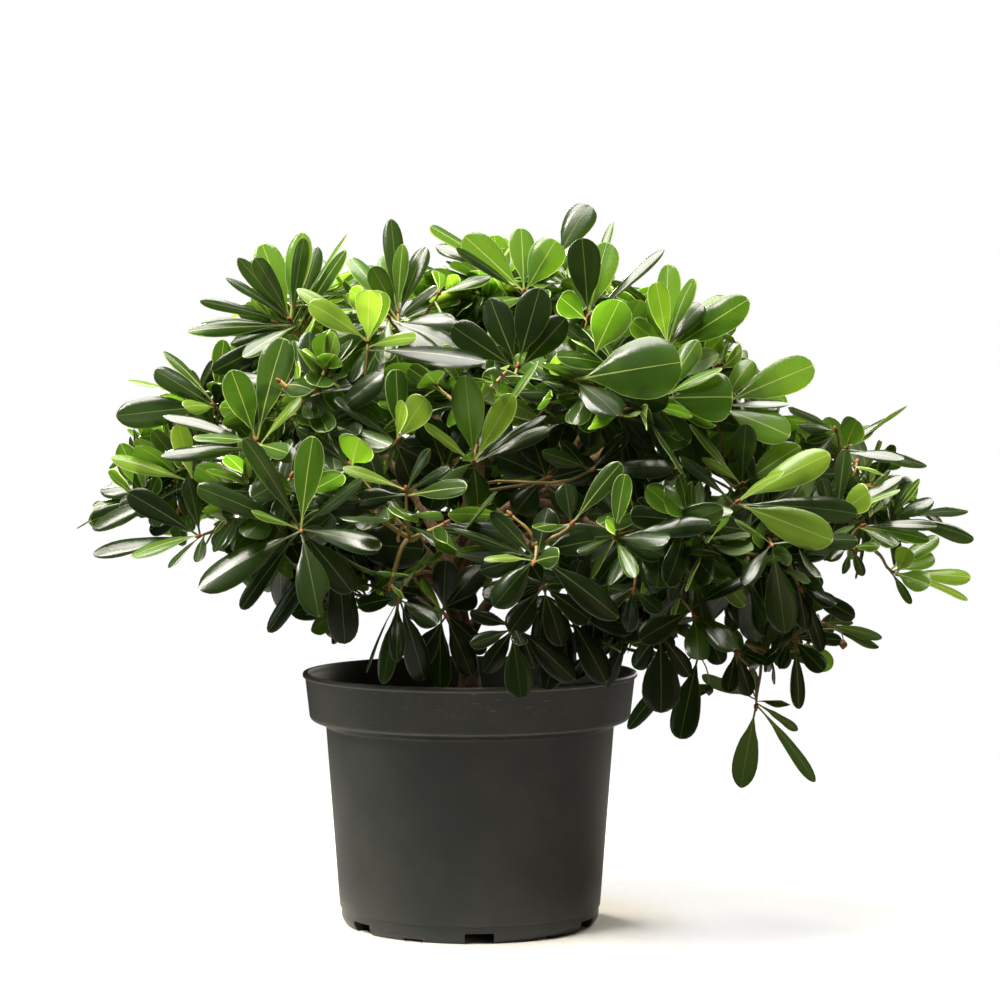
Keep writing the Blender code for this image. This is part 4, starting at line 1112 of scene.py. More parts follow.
# %% Whorls seen in the photograph
Whorl = namedtuple("Whorl", "mass px py depth leaves")
SeenLeaf = namedtuple("SeenLeaf", "px py near width face tone harm", defaults=("deep", ""))
SEEN = [
    Whorl("front_left", 301, 531, -0.205, [
        (319, 617, -22, 24, 8, "dark", "bitten"), (199, 589, -15, 25, 22, "dark"),
        (313, 436, -8, 21, 12, "middle"), (244, 438, -12, 15, "sky", "dark"),
        (197, 487, -20, 18, "window", "dark"), (252, 512, -34, 10, 60, "light"), (241, 609, 14, 13, 20),
        (352, 592, 10, 22, 20), (381, 548, -30, 17, "window", "dark"), (362, 479, -14, 14, 50, "dark"),
    ]),
    Whorl("front_left", 336, 542, -0.160, [
        (424, 549, 4, 32, 6), (345, 644, 6, 23, 10), (268, 632, 18, 14, 20),
    ]),
    Whorl("arm_left", 199, 536, -0.115, [
        (128, 493, -8, 19, 15), (188, 478, -5, 14, 12, "dark"), (93, 554, 6, 15, "sky", "dark"),
        (131, 557, -22, 15, 55, "light"), (169, 568, -25, 9, 60, "dark"), (198, 562, -32, 10, 30, "dark"),
    ]),
    Whorl("arm_left", 192, 482, -0.110, [
        (111, 457, -14, 14, 35, "young"), (178, 423, -12, 17, 12, "young"), (92, 528, 4, 16, 40, "dark"),
    ]),
    Whorl("front_left", 256, 440, -0.125, [
        (231, 370, -6, 23, 8, "middle"), (284, 338, 0, 25, 8, "middle"), (193, 438, -16, 13, 55, "light"),
        (288, 453, -30, 15, 25, "light"), (301, 398, 6, 10, 60, "young"), (163, 416, 10, 11, "sky", "dark"),
        (161, 456, -4, 14, "window", "dark"),
    ]),
    Whorl("shoulder_left", 214, 406, -0.055, [
        (116, 416, -8, 25, 14, "dark"), (155, 370, -4, 19, 22, "dark"), (184, 407, -34, 15, 50, "young"),
        (172, 378, 8, 13, 66, "dark"), (127, 380, 12, 8, 78, "young"), (163, 351, 10, 10, 50, "middle"),
    ]),
    Whorl("crest_left", 290, 320, -0.045, [
        (303, 232, 6, 20, 10, "light"), (262, 244, 12, 23, 10, "light"), (255, 258, -10, 16, 30, "dark"),
        (304, 238, -12, 13, 20, "dark"), (348, 233, 2, 8, 75, "light"), (226, 278, 0, 8, "sky", "dark"),
        (200, 301, 0, 9, 20, "dark"), (187, 331, 6, 13, 24, "middle"), (243, 357, -22, 14, 34, "middle"),
        (318, 247, 24, 14, 15, "dark"), (212, 372, 8, 16, -10), (346, 250, -6, 13, 30, "middle"),
        (230, 344, 14, 14, 30, "middle"), (200, 326, 10, 15, 14, "dark"), (238, 258, 12, 14, 30, "dark"),
    ]),
    Whorl("upper_front_left", 368, 341, -0.095, [
        (309, 303, -16, 19, 24, "young"), (297, 289, 8, 12, 40, "young"), (369, 290, -34, 20, 8, "young"),
        (381, 291, -12, 18, 12, "light"), (417, 337, -40, 13, 40, "young"), (352, 382, -30, 14, 50, "dark"),
        (486, 362, -34, 24, 46),
    ]),
    Whorl("crest_middle_left", 398, 312, -0.030, [
        (391, 219, 10, 16, 12, "dark"), (403, 244, -6, 13, 25, "light"), (372, 267, -18, 17, 10, "dark"),
        (384, 255, 20, 17, 15, "light"), (426, 247, 4, 16, 30, "dark"), (438, 287, -14, 13, "sky", "dark"),
        (350, 258, 14, 17, 26, "light"), (460, 300, 8, 12, 60, "middle"),
    ]),
    Whorl("crest_middle", 524, 292, -0.045, [
        (464, 236, -2, 25, 14, "light"), (521, 228, 16, 21, 10, "light"), (556, 240, 0, 27, 6, "light"),
        (456, 248, -10, 12, 66, "dark"), (548, 300, -38, 17, 20, "middle"),
        (492, 305, -34, 15, 40, "light"),
    ]),
    Whorl("crest_middle", 494, 266, 0.000, [
        (430, 226, 0, 12, 42, "light"), (436, 246, 20, 14, "sky", "dark"),
    ]),
    Whorl("crest_right", 588, 318, -0.070, [
        (582, 238, -8, 26, 12), (607, 242, 16, 26, 10, "light"), (560, 297, -34, 20, 8, "middle"),
        (664, 249, 20, 11, 42, "dark"), (613, 221, 20, 8, 30, "middle"),
    ]),
    Whorl("crest_right", 556, 260, 0.045, [(589, 205, 4, 25, 18, "dark")]),
    Whorl("upper_front_right", 572, 380, -0.160, [
        (682, 362, -18, 45, 6, "middle"), (618, 416, -30, 30, 46, "dark"), (537, 378, -6, 9, 52, "dark"),
    ]),
    Whorl("upper_front_right", 592, 360, -0.120, [(620, 300, -26, 29, 172, "middle")]),
    Whorl("upper_right", 668, 345, -0.100, [
        (694, 278, -12, 15, 45, "light"), (668, 264, 8, 20, 25, "light"), (656, 282, -18, 17, 10, "light"),
        (702, 304, 4, 18, "sky", "dark"), (728, 298, 16, 20, 12, "light"), (632, 322, -24, 16, 20, "light"),
        (749, 299, -4, 26, 12, "middle"),
    ]),
    Whorl("upper_right", 663, 398, -0.130, [
        (733, 397, -14, 36, 8, "middle"), (698, 340, 8, 17, 14, "light"),
        (722, 368, -12, 12, "sky", "light"),
    ]),
    Whorl("shoulder_right", 722, 404, -0.075, [
        (814, 365, -4, 28, 10, "light"), (752, 360, 12, 17, 14, "light"),
        (789, 404, -16, 10, "sky", "dark"), (790, 436, -22, 25, 20, "light"),
    ]),
    Whorl("shoulder_right", 742, 484, -0.090, [
        (746, 424, -4, 18, 14, "dark"), (702, 459, -24, 10, 50, "young"), (690, 424, 4, 10, 58, "light"),
        (800, 446, 4, 22, 20, "light"),
    ]),
    Whorl("arm_right_front", 737, 502, -0.140, [
        (830, 454, -8, 23, 16, "young"), (784, 472, -34, 12, 58, "young"), (833, 541, -14, 27, 10, "young"),
        (680, 456, 8, 12, 46, "dark"), (858, 514, 8, 20, "window", "dark"),
    ]),
    Whorl("arm_right_front", 772, 545, -0.155, [
        (785, 633, -10, 24, 24, "dark"), (735, 520, -24, 8, 60, "light"),
        (744, 585, -30, 14, "window", "dark"), (858, 540, 2, 16, "window", "dark"),
    ]),
    Whorl("front_right", 614, 538, -0.200, [
        (711, 523, -6, 15, "window", "dark"), (669, 540, -30, 17, "window", "dark"),
        (625, 474, -14, 14, 8, "middle"), (664, 555, -4, 18, 16, "dark"),
        (578, 553, -20, 9, "window", "dark"), (635, 577, -22, 11, "window", "light"),
        (606, 519, -36, 9, 50, "light"),
    ]),
    Whorl("front_middle", 572, 524, -0.195, [
        (621, 463, -8, 15, 20, "middle"), (565, 484, 2, 16, 12, "dark"),
        (534, 528, -40, 12, "window", "middle"),
    ]),
    Whorl("front_middle", 534, 562, -0.215, [
        (559, 556, -36, 15, 20, "middle"), (484, 560, -14, 8, 64, "young"),
        (454, 529, 0, 6, "window", "dark"), (491, 512, 0, 14, 20, "dark"), (494, 607, 0, 21, 14, "dark"),
        (619, 618, 6, 21, 16), (480, 570, 22, 18, 20), (548, 508, 26, 20, 20), (596, 540, 26, 20, 20),
    ]),
    Whorl("upper_front", 518, 366, -0.115, [
        (540, 288, -4, 26, 4), (490, 298, 8, 22, -10), (452, 326, 6, 22, -10), (566, 318, 8, 22, -10),
    ]),
    Whorl("upper_front", 548, 478, -0.080, [
        (498, 456, 0, 24, 10), (528, 428, 0, 24, 10), (566, 424, 0, 24, 10), (596, 466, 0, 24, 10),
        (516, 512, 0, 24, 10), (582, 514, 0, 22, 10),
    ]),
    Whorl("upper_front_left", 446, 468, -0.085, [
        (402, 442, 0, 24, 10), (426, 420, 0, 24, 10), (466, 424, 0, 24, 10), (492, 466, 0, 24, 10),
        (430, 510, 0, 22, 10),
    ]),
    Whorl("upper_front", 474, 462, -0.165, [
        (465, 375, -4, 23, 8, "dark"), (513, 394, -10, 18, 12, "young"), (538, 361, 4, 10, 54, "light"),
        (506, 418, 30, 22, 14), (448, 412, 30, 24, 16), (478, 506, 24, 22, 20),
        (424, 424, -14, 11, 48, "young"), (551, 428, 2, 12, "window", "dark"),
        (440, 480, -36, 15, "window", "dark"), (467, 454, -40, 11, "window", "dark"),
        (546, 416, 10, 9, "window", "dark"),
    ]),
    Whorl("front_middle_left", 406, 490, -0.200, [
        (343, 468, -8, 11, 40, "young"), (430, 449, -16, 9, "window", "dark"),
        (449, 467, -10, 9, "window", "dark"), (355, 502, 8, 16, 24),
        (467, 487, -28, 15, "window", "middle"), (398, 574, -14, 30, 6),
    ]),
    Whorl("front_middle_left", 352, 466, -0.170, [
        (359, 438, -34, 28, 14, "light"), (297, 429, 0, 11, "window", "dark"),
    ]),
    Whorl("upper_front_left", 398, 440, -0.140, [
        (396, 369, -4, 17, 12, "middle"), (425, 398, -20, 22, 14, "young"),
        (403, 401, -34, 12, 50, "young"), (335, 398, 2, 16, 46, "dark"), (412, 486, 10, 20, 24),
        (440, 470, 24, 20, 24),
    ]),
    Whorl("low_left", 398, 602, -0.140, [
        (383, 684, -10, 14, 14, "dark"), (397, 662, -22, 13, 12), (366, 673, 4, 6, 70, "dark"),
        (438, 624, -14, 17, 24, "dark"), (358, 606, -26, 14, 24), (424, 680, 24, 20, 14),
    ]),
    Whorl("low_left", 446, 616, -0.100, [
        (412, 668, -4, 20, 16), (472, 676, 6, 19, 18), (404, 606, 8, 18, 20), (446, 560, -6, 20, 14),
        (482, 566, 10, 20, 20), (440, 690, 26, 18, 24), (476, 594, 14, 20, 20), (486, 652, 14, 16, 24),
    ]),
    Whorl("low_right", 566, 612, -0.110, [
        (546, 690, -10, 21, 14), (606, 682, -4, 21, 16), (530, 600, 8, 18, 20), (580, 560, 0, 20, 16),
        (636, 628, -6, 20, 20), (566, 672, 20, 18, 24),
    ]),
    Whorl("low_right", 542, 588, -0.120, [
        (510, 632, -6, 20, 18), (562, 646, -4, 20, 20), (590, 620, 0, 20, 22), (528, 560, 6, 18, 20),
        (516, 600, 10, 19, 20), (538, 656, 4, 19, 20), (482, 594, 10, 19, 20),
    ]),
    Whorl("low_right", 512, 630, -0.130, [
        (521, 698, -14, 21, 10, "dark"), (470, 645, -6, 13, 24, "dark"), (522, 645, -36, 12, 16),
        (470, 612, 4, 12, 30), (575, 680, 14, 20, 20), (484, 672, 8, 16, 20), (534, 668, 4, 15, 20),
    ]),
    Whorl("front_right", 694, 614, -0.165, [
        (698, 660, -34, 19, 20, "dark"), (735, 650, -30, 18, "window", "dark"), (722, 664, -12, 18, 26),
        (640, 640, -14, 20, 16), (748, 578, 0, 12, 40),
    ]),
    Whorl("front_right", 634, 590, -0.190, [
        (661, 612, -8, 12, "window", "dark"), (628, 632, 4, 16, 20), (604, 606, -6, 12, 30),
    ]),
    Whorl("low_right", 660, 634, -0.135, [
        (661, 713, -8, 28, 8, "deep", "dry tip"), (634, 668, 6, 16, 24), (690, 676, 8, 14, 24),
    ]),
    Whorl("low_right", 699, 652, -0.115, [(680, 739, -12, 22, 10), (628, 729, 6, 13, 30)]),
    Whorl("hanging", 756, 706, -0.060, [
        (741, 788, -12, 19, 172, "dark"), (815, 782, 4, 11, 150, "dark"), (798, 730, -22, 8, 140, "dark"),
        (790, 705, -34, 9, 46, "dark"), (702, 675, 6, 14, 140, "dark"), (738, 664, 10, 14, 34),
        (753, 668, -6, 8, 150, "dark"),
    ]),
    Whorl("hanging", 795, 640, -0.080, [
        (799, 709, -4, 12, 22), (824, 671, -34, 15, "window"), (832, 668, 6, 17, 14, "light"),
        (780, 669, -14, 9, 22), (761, 664, -4, 11, 26), (842, 640, 14, 12, 26),
    ]),
    Whorl("hanging", 822, 624, -0.070, [
        (882, 638, -4, 10, 140, "dark"), (879, 647, 8, 9, 36, "dark"), (853, 622, 14, 8, 44, "dark"),
    ]),
    Whorl("hanging", 736, 652, -0.095, [
        (750, 696, -8, 15, 16), (728, 692, 4, 13, 20), (766, 662, -10, 9, 30),
    ]),
    Whorl("arm_right_front", 800, 588, -0.110, [
        (855, 617, 4, 17, 26), (822, 652, 4, 13, 30), (836, 604, -12, 14, 34), (806, 630, -6, 14, 24),
    ]),
    Whorl("arm_right_far", 897, 574, -0.020, [
        (908, 548, -34, 17, 12, "young"), (971, 577, -4, 14, 34, "young"), (968, 600, -12, 9, 44, "young"),
        (930, 585, -28, 18, 20, "light"), (934, 556, 4, 16, 24, "light"), (911, 604, -20, 8, "sky", "dark"),
        (938, 536, 10, 15, 26, "light"),
    ]),
    Whorl("arm_right_far", 852, 548, -0.050, [
        (863, 576, -6, 9, 30, "dark"), (843, 574, -4, 7, 40, "dark"), (880, 546, -20, 9, 30, "light"),
        (826, 560, 0, 10, 40, "dark"),
    ]),
    Whorl("arm_right_far", 893, 518, 0.000, [
        (974, 539, 4, 16, "sky", "dark"), (968, 511, 8, 11, "sky", "dark"), (911, 481, 2, 13, 34, "dark"),
        (920, 479, -30, 9, 50, "middle"), (934, 500, -12, 16, "sky", "dark"),
    ]),
    Whorl("arm_right_far", 862, 526, -0.030, [
        (937, 526, -12, 11, "sky", "dark"), (930, 540, -18, 13, 24, "middle"),
        (898, 545, -26, 12, 30, "middle"),
    ]),
    Whorl("arm_right_front", 838, 516, -0.080, [
        (869, 492, -38, 21, 20, "young"), (845, 449, 0, 12, "sky", "dark"),
        (902, 476, 8, 12, "sky", "dark"), (900, 490, -8, 8, 60, "light"), (822, 478, 2, 12, 20, "dark"),
    ]),
    Whorl("arm_right", 846, 448, 0.010, [
        (857, 420, -44, 21, 20, "dark"), (927, 466, -6, 12, "sky", "dark"), (907, 406, 6, 9, 100, "dark"),
        (872, 426, 14, 12, 30, "light"), (904, 459, -20, 12, "sky", "dark"), (888, 418, 6, 8, 34, "dark"),
    ]),
    Whorl("arm_right", 836, 430, 0.000, [
        (788, 408, -10, 13, "sky", "dark"), (798, 426, -22, 14, "sky", "dark"), (812, 462, -26, 11, 30),
        (806, 442, -14, 10, 40, "middle"),
    ]),
    Whorl("upper_front", 592, 470, -0.150, [
        (542, 452, -12, 14, "window", "dark"), (674, 466, -14, 19, "window", "dark"), (628, 432, 0, 14, 30),
        (560, 440, 6, 12, 30),
    ]),
]
print("whorls seen:", len(SEEN), "with", sum(len(whorl.leaves) for whorl in SEEN), "leaves")

# %% [markdown]
# ## Finer twigs
#
# In the solids each mass has a leader in line with its bough and three side twigs. Here the same rule
# goes one step further: each of those forks into finer twigs, and a whorl of leaves sits on every tip.
# Of a few turns that a fork could take, it takes the one with the most room and light, away from the
# tips that are there already. A whorl that the photograph shows has a twig of its own from the limb.

# %% One shoot
LEAF_LENGTH = 0.071
LEAF_SHORT = 0.84
TWIG_TURN_UP = 0.45
TWIG_STEPS = 7
OUTWARD_PULL = 0.35
STRAIGHT_ON = 1.2
LIGHT_PULL = Vector((0.0, 0.0, 0.15))
SET_OUT_LOST = 0.2

Shoot = namedtuple("Shoot", "mass tip direction path leaves size")


def lean_out(axis, lean_deg, turn, turn_up):
    """A direction that leans out from an axis at a turn round it, and turns up or hangs."""
    lean = math.radians(lean_deg)
    across = Matrix.Rotation(turn, 3, axis) @ axis.orthogonal().normalized()
    way = axis * math.cos(lean) + across * math.sin(lean)
    return (way + Vector((0.0, 0.0, turn_up * TWIG_TURN_UP))).normalized()


def room_at(tip, tips, heart):
    """How good a place is for a whorl: far from other tips, and on the outer side of its mass."""
    nearest = min(((tip - other).length for other in tips), default=1.0)
    return min(nearest, LEAF_LENGTH) + OUTWARD_PULL * (tip - heart).dot(outward(heart))


def add_shoot(shoots, tips, mass, ends, radii, leaves, size):
    """Grows a twig between its ends and notes the whorl on its tip. size scales the whorl's leaves."""
    path = limb_points(*ends, radii, count=TWIG_STEPS)
    shoots.append(Shoot(mass, path[-1][0], ends[3], path, leaves, size))
    tips.append(path[-1][0])


def arriving(root, set_out, tip):
    """The way a twig points at its tip: mostly straight on, and a little up to the light."""
    return ((tip - root).normalized() * STRAIGHT_ON + LIGHT_PULL - set_out * SET_OUT_LOST).normalized()


def leader_of(name):
    """Where a mass's leader starts, its direction, and how long it is past the stem."""
    _, _, foot, axis, _ = BOUGHS[name]
    return foot, axis, FOLIAGE[name].reach - LEAF_LENGTH * LEAF_SHORT


print("twigs: bent in", TWIG_STEPS, "steps")

# %% [markdown]
# A seen whorl's twig could start anywhere on its mass's limb. It takes the point that is nearest to the
# whorl, with a preference for one that it can leave in the direction in which the limb grows, because a
# twig that runs back along its limb looks wrong.

# %% Shoots to the whorls that are seen
FINE_RADII = (0.0013, 0.0010)
LIMB_STEPS = 12
FIRST_FORK = 4
LEADER_FORKS = (0.2, 0.4, 0.6, 0.8)
FORK_PENALTY = 2.2
SEEN_SET_OUT = 0.6
SEEN_STRAIGHT_ON = 1.1


def grow_seen(name, shoots, tips):
    """A twig to each whorl of the mass that the photograph shows, from where its limb passes nearest."""
    foot, axis, length = leader_of(name)
    limb = [place for place, _ in limb_points(*BOUGHS[name], count=LIMB_STEPS)]
    limb += [foot + axis * (STEM_LENGTH + length) * share for share in LEADER_FORKS]
    for seen in [whorl for whorl in SEEN if whorl.mass == name]:
        centre = place_at(seen.px, seen.py, seen.depth)
        forks = []
        for before, root in zip(limb[FIRST_FORK:], limb[FIRST_FORK + 1 :]):
            along_limb = (root - before).normalized()
            chord = centre - root
            cost = chord.length * (FORK_PENALTY - along_limb.dot(chord.normalized()))
            forks.append((cost, root, along_limb))
        _, root, along_limb = min(forks, key=lambda fork: fork[0])
        chord = (centre - root).normalized()
        ways = [place_at(px, py, seen.depth + near * MM) - centre for px, py, near, *_ in seen.leaves]
        spread = sum((way.normalized() for way in ways), Vector()) / len(ways)
        set_out = (along_limb * SEEN_SET_OUT + chord).normalized()
        ends = (root, set_out, centre, (chord * SEEN_STRAIGHT_ON + spread).normalized())
        add_shoot(shoots, tips, name, ends, FINE_RADII, seen, 1.0)


print("places for a fork on a limb:", LIMB_STEPS + len(LEADER_FORKS) - FIRST_FORK - 1)

# %% [markdown]
# The rule's own shoots follow: the leader, three side twigs round its foot, and four finer twigs on each.
# Every draw comes from a source that is seeded with the mass's name, so each run grows the same crown.

# %% Shoots by the rule
STEM_RADII = (0.0028, 0.0018)
SIDE_TWIGS = 3
TWIG_RADII = (0.0017, 0.0013)
TWIG_SPACING = 0.007
TWIG_SPREAD_DEG = 66.0
TWIG_VARY_DEG = 9.0
LEADER_FROM = 0.8
FINE_TWIGS = (0.15, 0.36, 0.58, 0.82)
FINE_LEAN_DEG = 52.0
FINE_VARY_DEG = 12.0
FINE_SHARE = 0.66
FINE_REACH = (0.9, 1.15)
TURNS_TRIED = 7
FULL_WHORL = (8, 1.0)
FINE_WHORL = (7, 0.92)


def grow_shoots(name, tips):
    """A mass's leader, side twigs and finer twigs, each with the number of leaves that it carries."""
    mass, source, shoots = FOLIAGE[name], random.Random(f"{name} shoots"), []
    heart = Vector(mass.heart)
    foot, axis, length = leader_of(name)
    grow_seen(name, shoots, tips)
    leader = (foot, axis, foot + axis * (STEM_LENGTH + length), axis)
    add_shoot(shoots, tips, name, leader, STEM_RADII, *FULL_WHORL)
    first_turn = source.uniform(0.0, math.tau)
    firsts = [(foot + axis * STEM_LENGTH * LEADER_FROM, axis)]
    for index in range(SIDE_TWIGS):
        root = foot + axis * (STEM_LENGTH - index * TWIG_SPACING)
        lean = TWIG_SPREAD_DEG + source.uniform(-TWIG_VARY_DEG, TWIG_VARY_DEG)
        way = lean_out(axis, lean, first_turn + index * math.tau / SIDE_TWIGS, mass.turn_up)
        firsts.append((root, way))
        tip = root + way * length
        ends = (root, axis, tip, arriving(root, axis, tip))
        add_shoot(shoots, tips, name, ends, TWIG_RADII, *FULL_WHORL)
    for root, way in firsts:
        for share in FINE_TWIGS:
            fork = root + way * length * share
            choices = []
            for turn in range(TURNS_TRIED):
                lean = FINE_LEAN_DEG + source.uniform(-FINE_VARY_DEG, FINE_VARY_DEG)
                found = lean_out(way, lean, math.tau * turn / TURNS_TRIED + first_turn, mass.turn_up)
                choices.append(fork + found * length * FINE_SHARE * source.uniform(*FINE_REACH))
            tip = max(choices, key=lambda place: room_at(place, tips, heart))
            ends = (fork, way, tip, arriving(fork, way, tip))
            add_shoot(shoots, tips, name, ends, FINE_RADII, *FINE_WHORL)
    return shoots


all_tips = []
SHOOTS = {name: grow_shoots(name, all_tips) for name in FOLIAGE}
print("whorls:", len(all_tips))

# %% [markdown]
# ## Whorls of leaves
#
# The leaves of a whorl follow each other at the golden angle, the inner ones short and erect, the outer
# ones long and spreading. Real leaves never pass through each other, so each new leaf is tested against
# its neighbours, the twigs and the wood, as a coarse copy of itself. It is turned a little or shortened
# until it finds room, and is left out where there is none. The leaves that the photograph shows come
# first, and no later leaf may stand between one of them and the viewer.

# %% Testing for room
MOST_LEAVES = 6000
TWIG_SIDES = 6

middles = np.zeros((MOST_LEAVES, 3))
reaches = np.zeros(MOST_LEAVES)
trees = []


def wood_tree():
    """One search tree over the pot, the compost, all limbs and all twigs."""
    places, faces = [], []
    for node in ["pot", "compost", "trunk", *BOUGH_NODES]:
        mesh = frame["nodes"][node].data
        first = len(places)
        places.extend(vertex.co.copy() for vertex in mesh.vertices)
        faces.extend([first + i for i in face.vertices] for face in mesh.polygons)
    for shoot in [shoot for shoots in SHOOTS.values() for shoot in shoots]:
        corners, sides = tube(shoot.path, TWIG_SIDES)
        faces.extend([len(places) + i for i in side] for side in sides)
        places.extend(corners)
    return BVHTree.FromPolygons(places, faces)


TEST_FACES = grid_faces(len(TEST_ROWS), len(TEST_COLUMNS))
WOOD = wood_tree()


def finds_room(sheet):
    """Whether a placed leaf misses the wood and all leaves so far. If it does, it is noted."""
    coarse = sheet[np.ix_(TEST_ROWS, TEST_COLUMNS)].reshape(-1, 3)
    middle = coarse.mean(axis=0)
    reach = np.linalg.norm(coarse - middle, axis=1).max()
    tree = BVHTree.FromPolygons([Vector(corner) for corner in coarse], TEST_FACES)
    if tree.overlap(WOOD):
        return False
    count = len(trees)
    near = np.linalg.norm(middles[:count] - middle, axis=1) < reaches[:count] + reach
    if any(tree.overlap(trees[index]) for index in np.flatnonzero(near)):
        return False
    middles[count], reaches[count] = middle, reach
    trees.append(tree)
    return True


print("twigs to keep clear of:", sum(len(shoots) for shoots in SHOOTS.values()))

# %% [markdown]
# A leaf that the photograph shows is stretched from its whorl to its tip and turned about that line. Where
# it gleams, its upper side faces half way between the viewer and the light, as a mirror would have to.
# Where another leaf is in its way, its tip is pushed back or forward and the leaf turned, step by step.

# %% Leaves that the photograph shows
SEEN_BEND_DEG = (8, 26)
SEEN_TWIST_DEG = 7
SEEN_WAVE = (0.0003, 0.0010)
SEEN_FOLD = (-0.05, 0.30)
SEEN_POINT = (0.42, 0.62)
SEEN_TRIES = ((0, 0), (5, 6), (-5, -6), (10, 12), (-10, -12), (16, 0), (-16, 0), (24, 10), (-24, -10))
PETIOLE_STEP = 0.0012
GLEAMS = {"sky": Vector((-0.10, -0.68, 0.72)), "window": Vector((-0.29, -0.82, 0.49))}


def frame_at(way, up):
    """A turn whose +Y is along way, with +Z as near to up as that allows."""
    side = way.cross(up).normalized()
    return np.array(Matrix((side, way, side.cross(way).normalized())).transposed())


def sheet_between(leaf, root, tip, face_deg, gleams):
    """A leaf from its root to its tip, turned by face_deg from facing the viewer, or from its gleam."""
    way = (tip - root).normalized()
    viewer = (EYE - root).normalized()
    aside = way.cross(viewer).normalized()
    aside = aside if aside.z > 0 else -aside
    toward = (viewer - way * way.dot(viewer)).normalized()
    face = math.radians(face_deg)
    if gleams:
        face += math.atan2(GLEAMS[gleams].dot(aside), GLEAMS[gleams].dot(toward))
    up = toward * math.cos(face) + aside * math.sin(face)
    sheet = leaf_sheet(leaf)
    end = sheet[-1, 3:5].mean(axis=0)
    chord = math.hypot(end[1], end[2])
    cosine, sine = end[1] / chord, end[2] / chord
    level = np.array([[1.0, 0.0, 0.0], [0.0, cosine, sine], [0.0, -sine, cosine]])
    scaled = sheet @ level.T * ((tip - root).length / chord)
    return scaled @ frame_at(way, up).T + np.array(root)


def seen_sheets(shoot, source):
    """The leaves of a whorl that the photograph shows, each with its corners."""
    for index, row in enumerate(shoot.leaves.leaves):
        seen = SeenLeaf(*row)
        root = shoot.tip - shoot.direction * PETIOLE_STEP * index
        bend = math.radians(source.uniform(*SEEN_BEND_DEG))
        twist = math.radians(source.gauss(0, SEEN_TWIST_DEG))
        wave, phase = source.uniform(*SEEN_WAVE), source.uniform(0.0, math.tau)
        fold, point = source.uniform(*SEEN_FOLD), source.uniform(*SEEN_POINT)
        gleams = seen.face if seen.face in GLEAMS else None
        face = 0 if gleams else seen.face
        for deeper, turned_by in SEEN_TRIES:
            tip = place_at(seen.px, seen.py, shoot.leaves.depth + (seen.near + deeper) * MM)
            length = (tip - root).length
            shape = (length, seen.width * MM / length, point, bend, fold, twist, wave, phase)
            leaf = Leaf(*shape, TONE_NAMES.index(seen.tone), seen.harm)
            sheet = sheet_between(leaf, root, tip, face + turned_by, gleams)
            if finds_room(sheet):
                yield sheet, leaf
                break


seen_leaves = {name: [] for name in FOLIAGE}
for name, shoots in SHOOTS.items():
    source = random.Random(f"{name} seen leaves")
    for shoot in [shoot for shoot in shoots if isinstance(shoot.leaves, Whorl)]:
        seen_leaves[name] += seen_sheets(shoot, source)
seen_count = sum(len(leaves) for leaves in seen_leaves.values())
print("leaves seen and placed:", seen_count, "of", sum(len(whorl.leaves) for whorl in SEEN))

# %% [markdown]
# The rule fills the crown behind those leaves, and must not cover them. So a ray runs on from each corner
# of a new leaf, away from the viewer: if it meets a seen leaf, the new one would stand before it.

# %% Keeping seen leaves in sight
LONGEST_SIGHT = 0.5


def tree_of_seen():
    """One search tree over the whole outlines of the leaves that the photograph shows."""
    places, faces = [], []
    for sheet, _ in [leaf for leaves in seen_leaves.values() for leaf in leaves]:
        faces.extend([len(places) + i for i in face] for face in LEAF_FACES.tolist())
        places.extend(Vector(corner) for corner in sheet.reshape(-1, 3))
    return BVHTree.FromPolygons(places, faces)


SEEN_TREE = tree_of_seen()


def hides_seen(sheet):
    """Whether a leaf stands between the viewer and a leaf that the photograph shows."""
    for corner in sheet[::2].reshape(-1, 3):
        place = Vector(corner)
        if SEEN_TREE.ray_cast(place, (place - EYE).normalized(), LONGEST_SIGHT)[0] is not None:
            return True
    return False


print("leaves kept in sight:", seen_count)

# %% [markdown]
# Each whorl by the rule has eight leaves, or seven on the finer twigs, and five more lower on its twig.
# Their sizes, outlines, bends and folds are drawn within what such leaves show, and their tones by place:
# paler where the shoots turn up to the light and towards the middle of a whorl.

# %% A whorl by the rule
GOLDEN_TURN = math.radians(137.508)
LEAF_FIRST_DEG, LEAF_LAST_DEG = 26.0, 98.0
LEAF_OPENING = 0.8
INNER_LEAF, OUTER_LEAF = 0.70, 1.06
WHORL_DEPTH = 0.008
SIZE_VARY = 0.17
LEAF_WIDTH = (0.28, 0.38)
LEAF_POINT = (0.42, 0.66)
LEAF_FOLD = (-0.12, 0.38)
LEAF_BEND_DEG, OUTER_BEND_DEG = (4, 20), 26
LEAF_TWIST_DEG = 11
MOST_WAVE = 0.0011
STEM_LEAVES = 5
STEM_LEAF_PLACES = (0.25, 0.85)
STEM_LEAF_DEG = 62.0
STEM_LEAF_SIZE = 0.9
STEM_LEAF_SHADE = 0.4
FIRST_TONE, TONE_BY_LIGHT, TONE_BY_PLACE, TONE_VARY = 1.0, 1.3, 0.8, 0.55
SMALL_LEAVED = {
    "hanging": 0.8, "front_right": 0.86, "low_right": 0.86, "arm_right_far": 0.86, "arm_right_back": 0.9,
}


def tone_for(turn_up, share, source):
    """Deals a tone: paler where the shoots turn up to the light, and towards the middle of a whorl."""
    level = FIRST_TONE + turn_up * TONE_BY_LIGHT + (0.5 - share) * TONE_BY_PLACE
    level += source.gauss(0.0, TONE_VARY)
    return int(min(max(round(level), 0), len(TONE_NAMES) - 1))


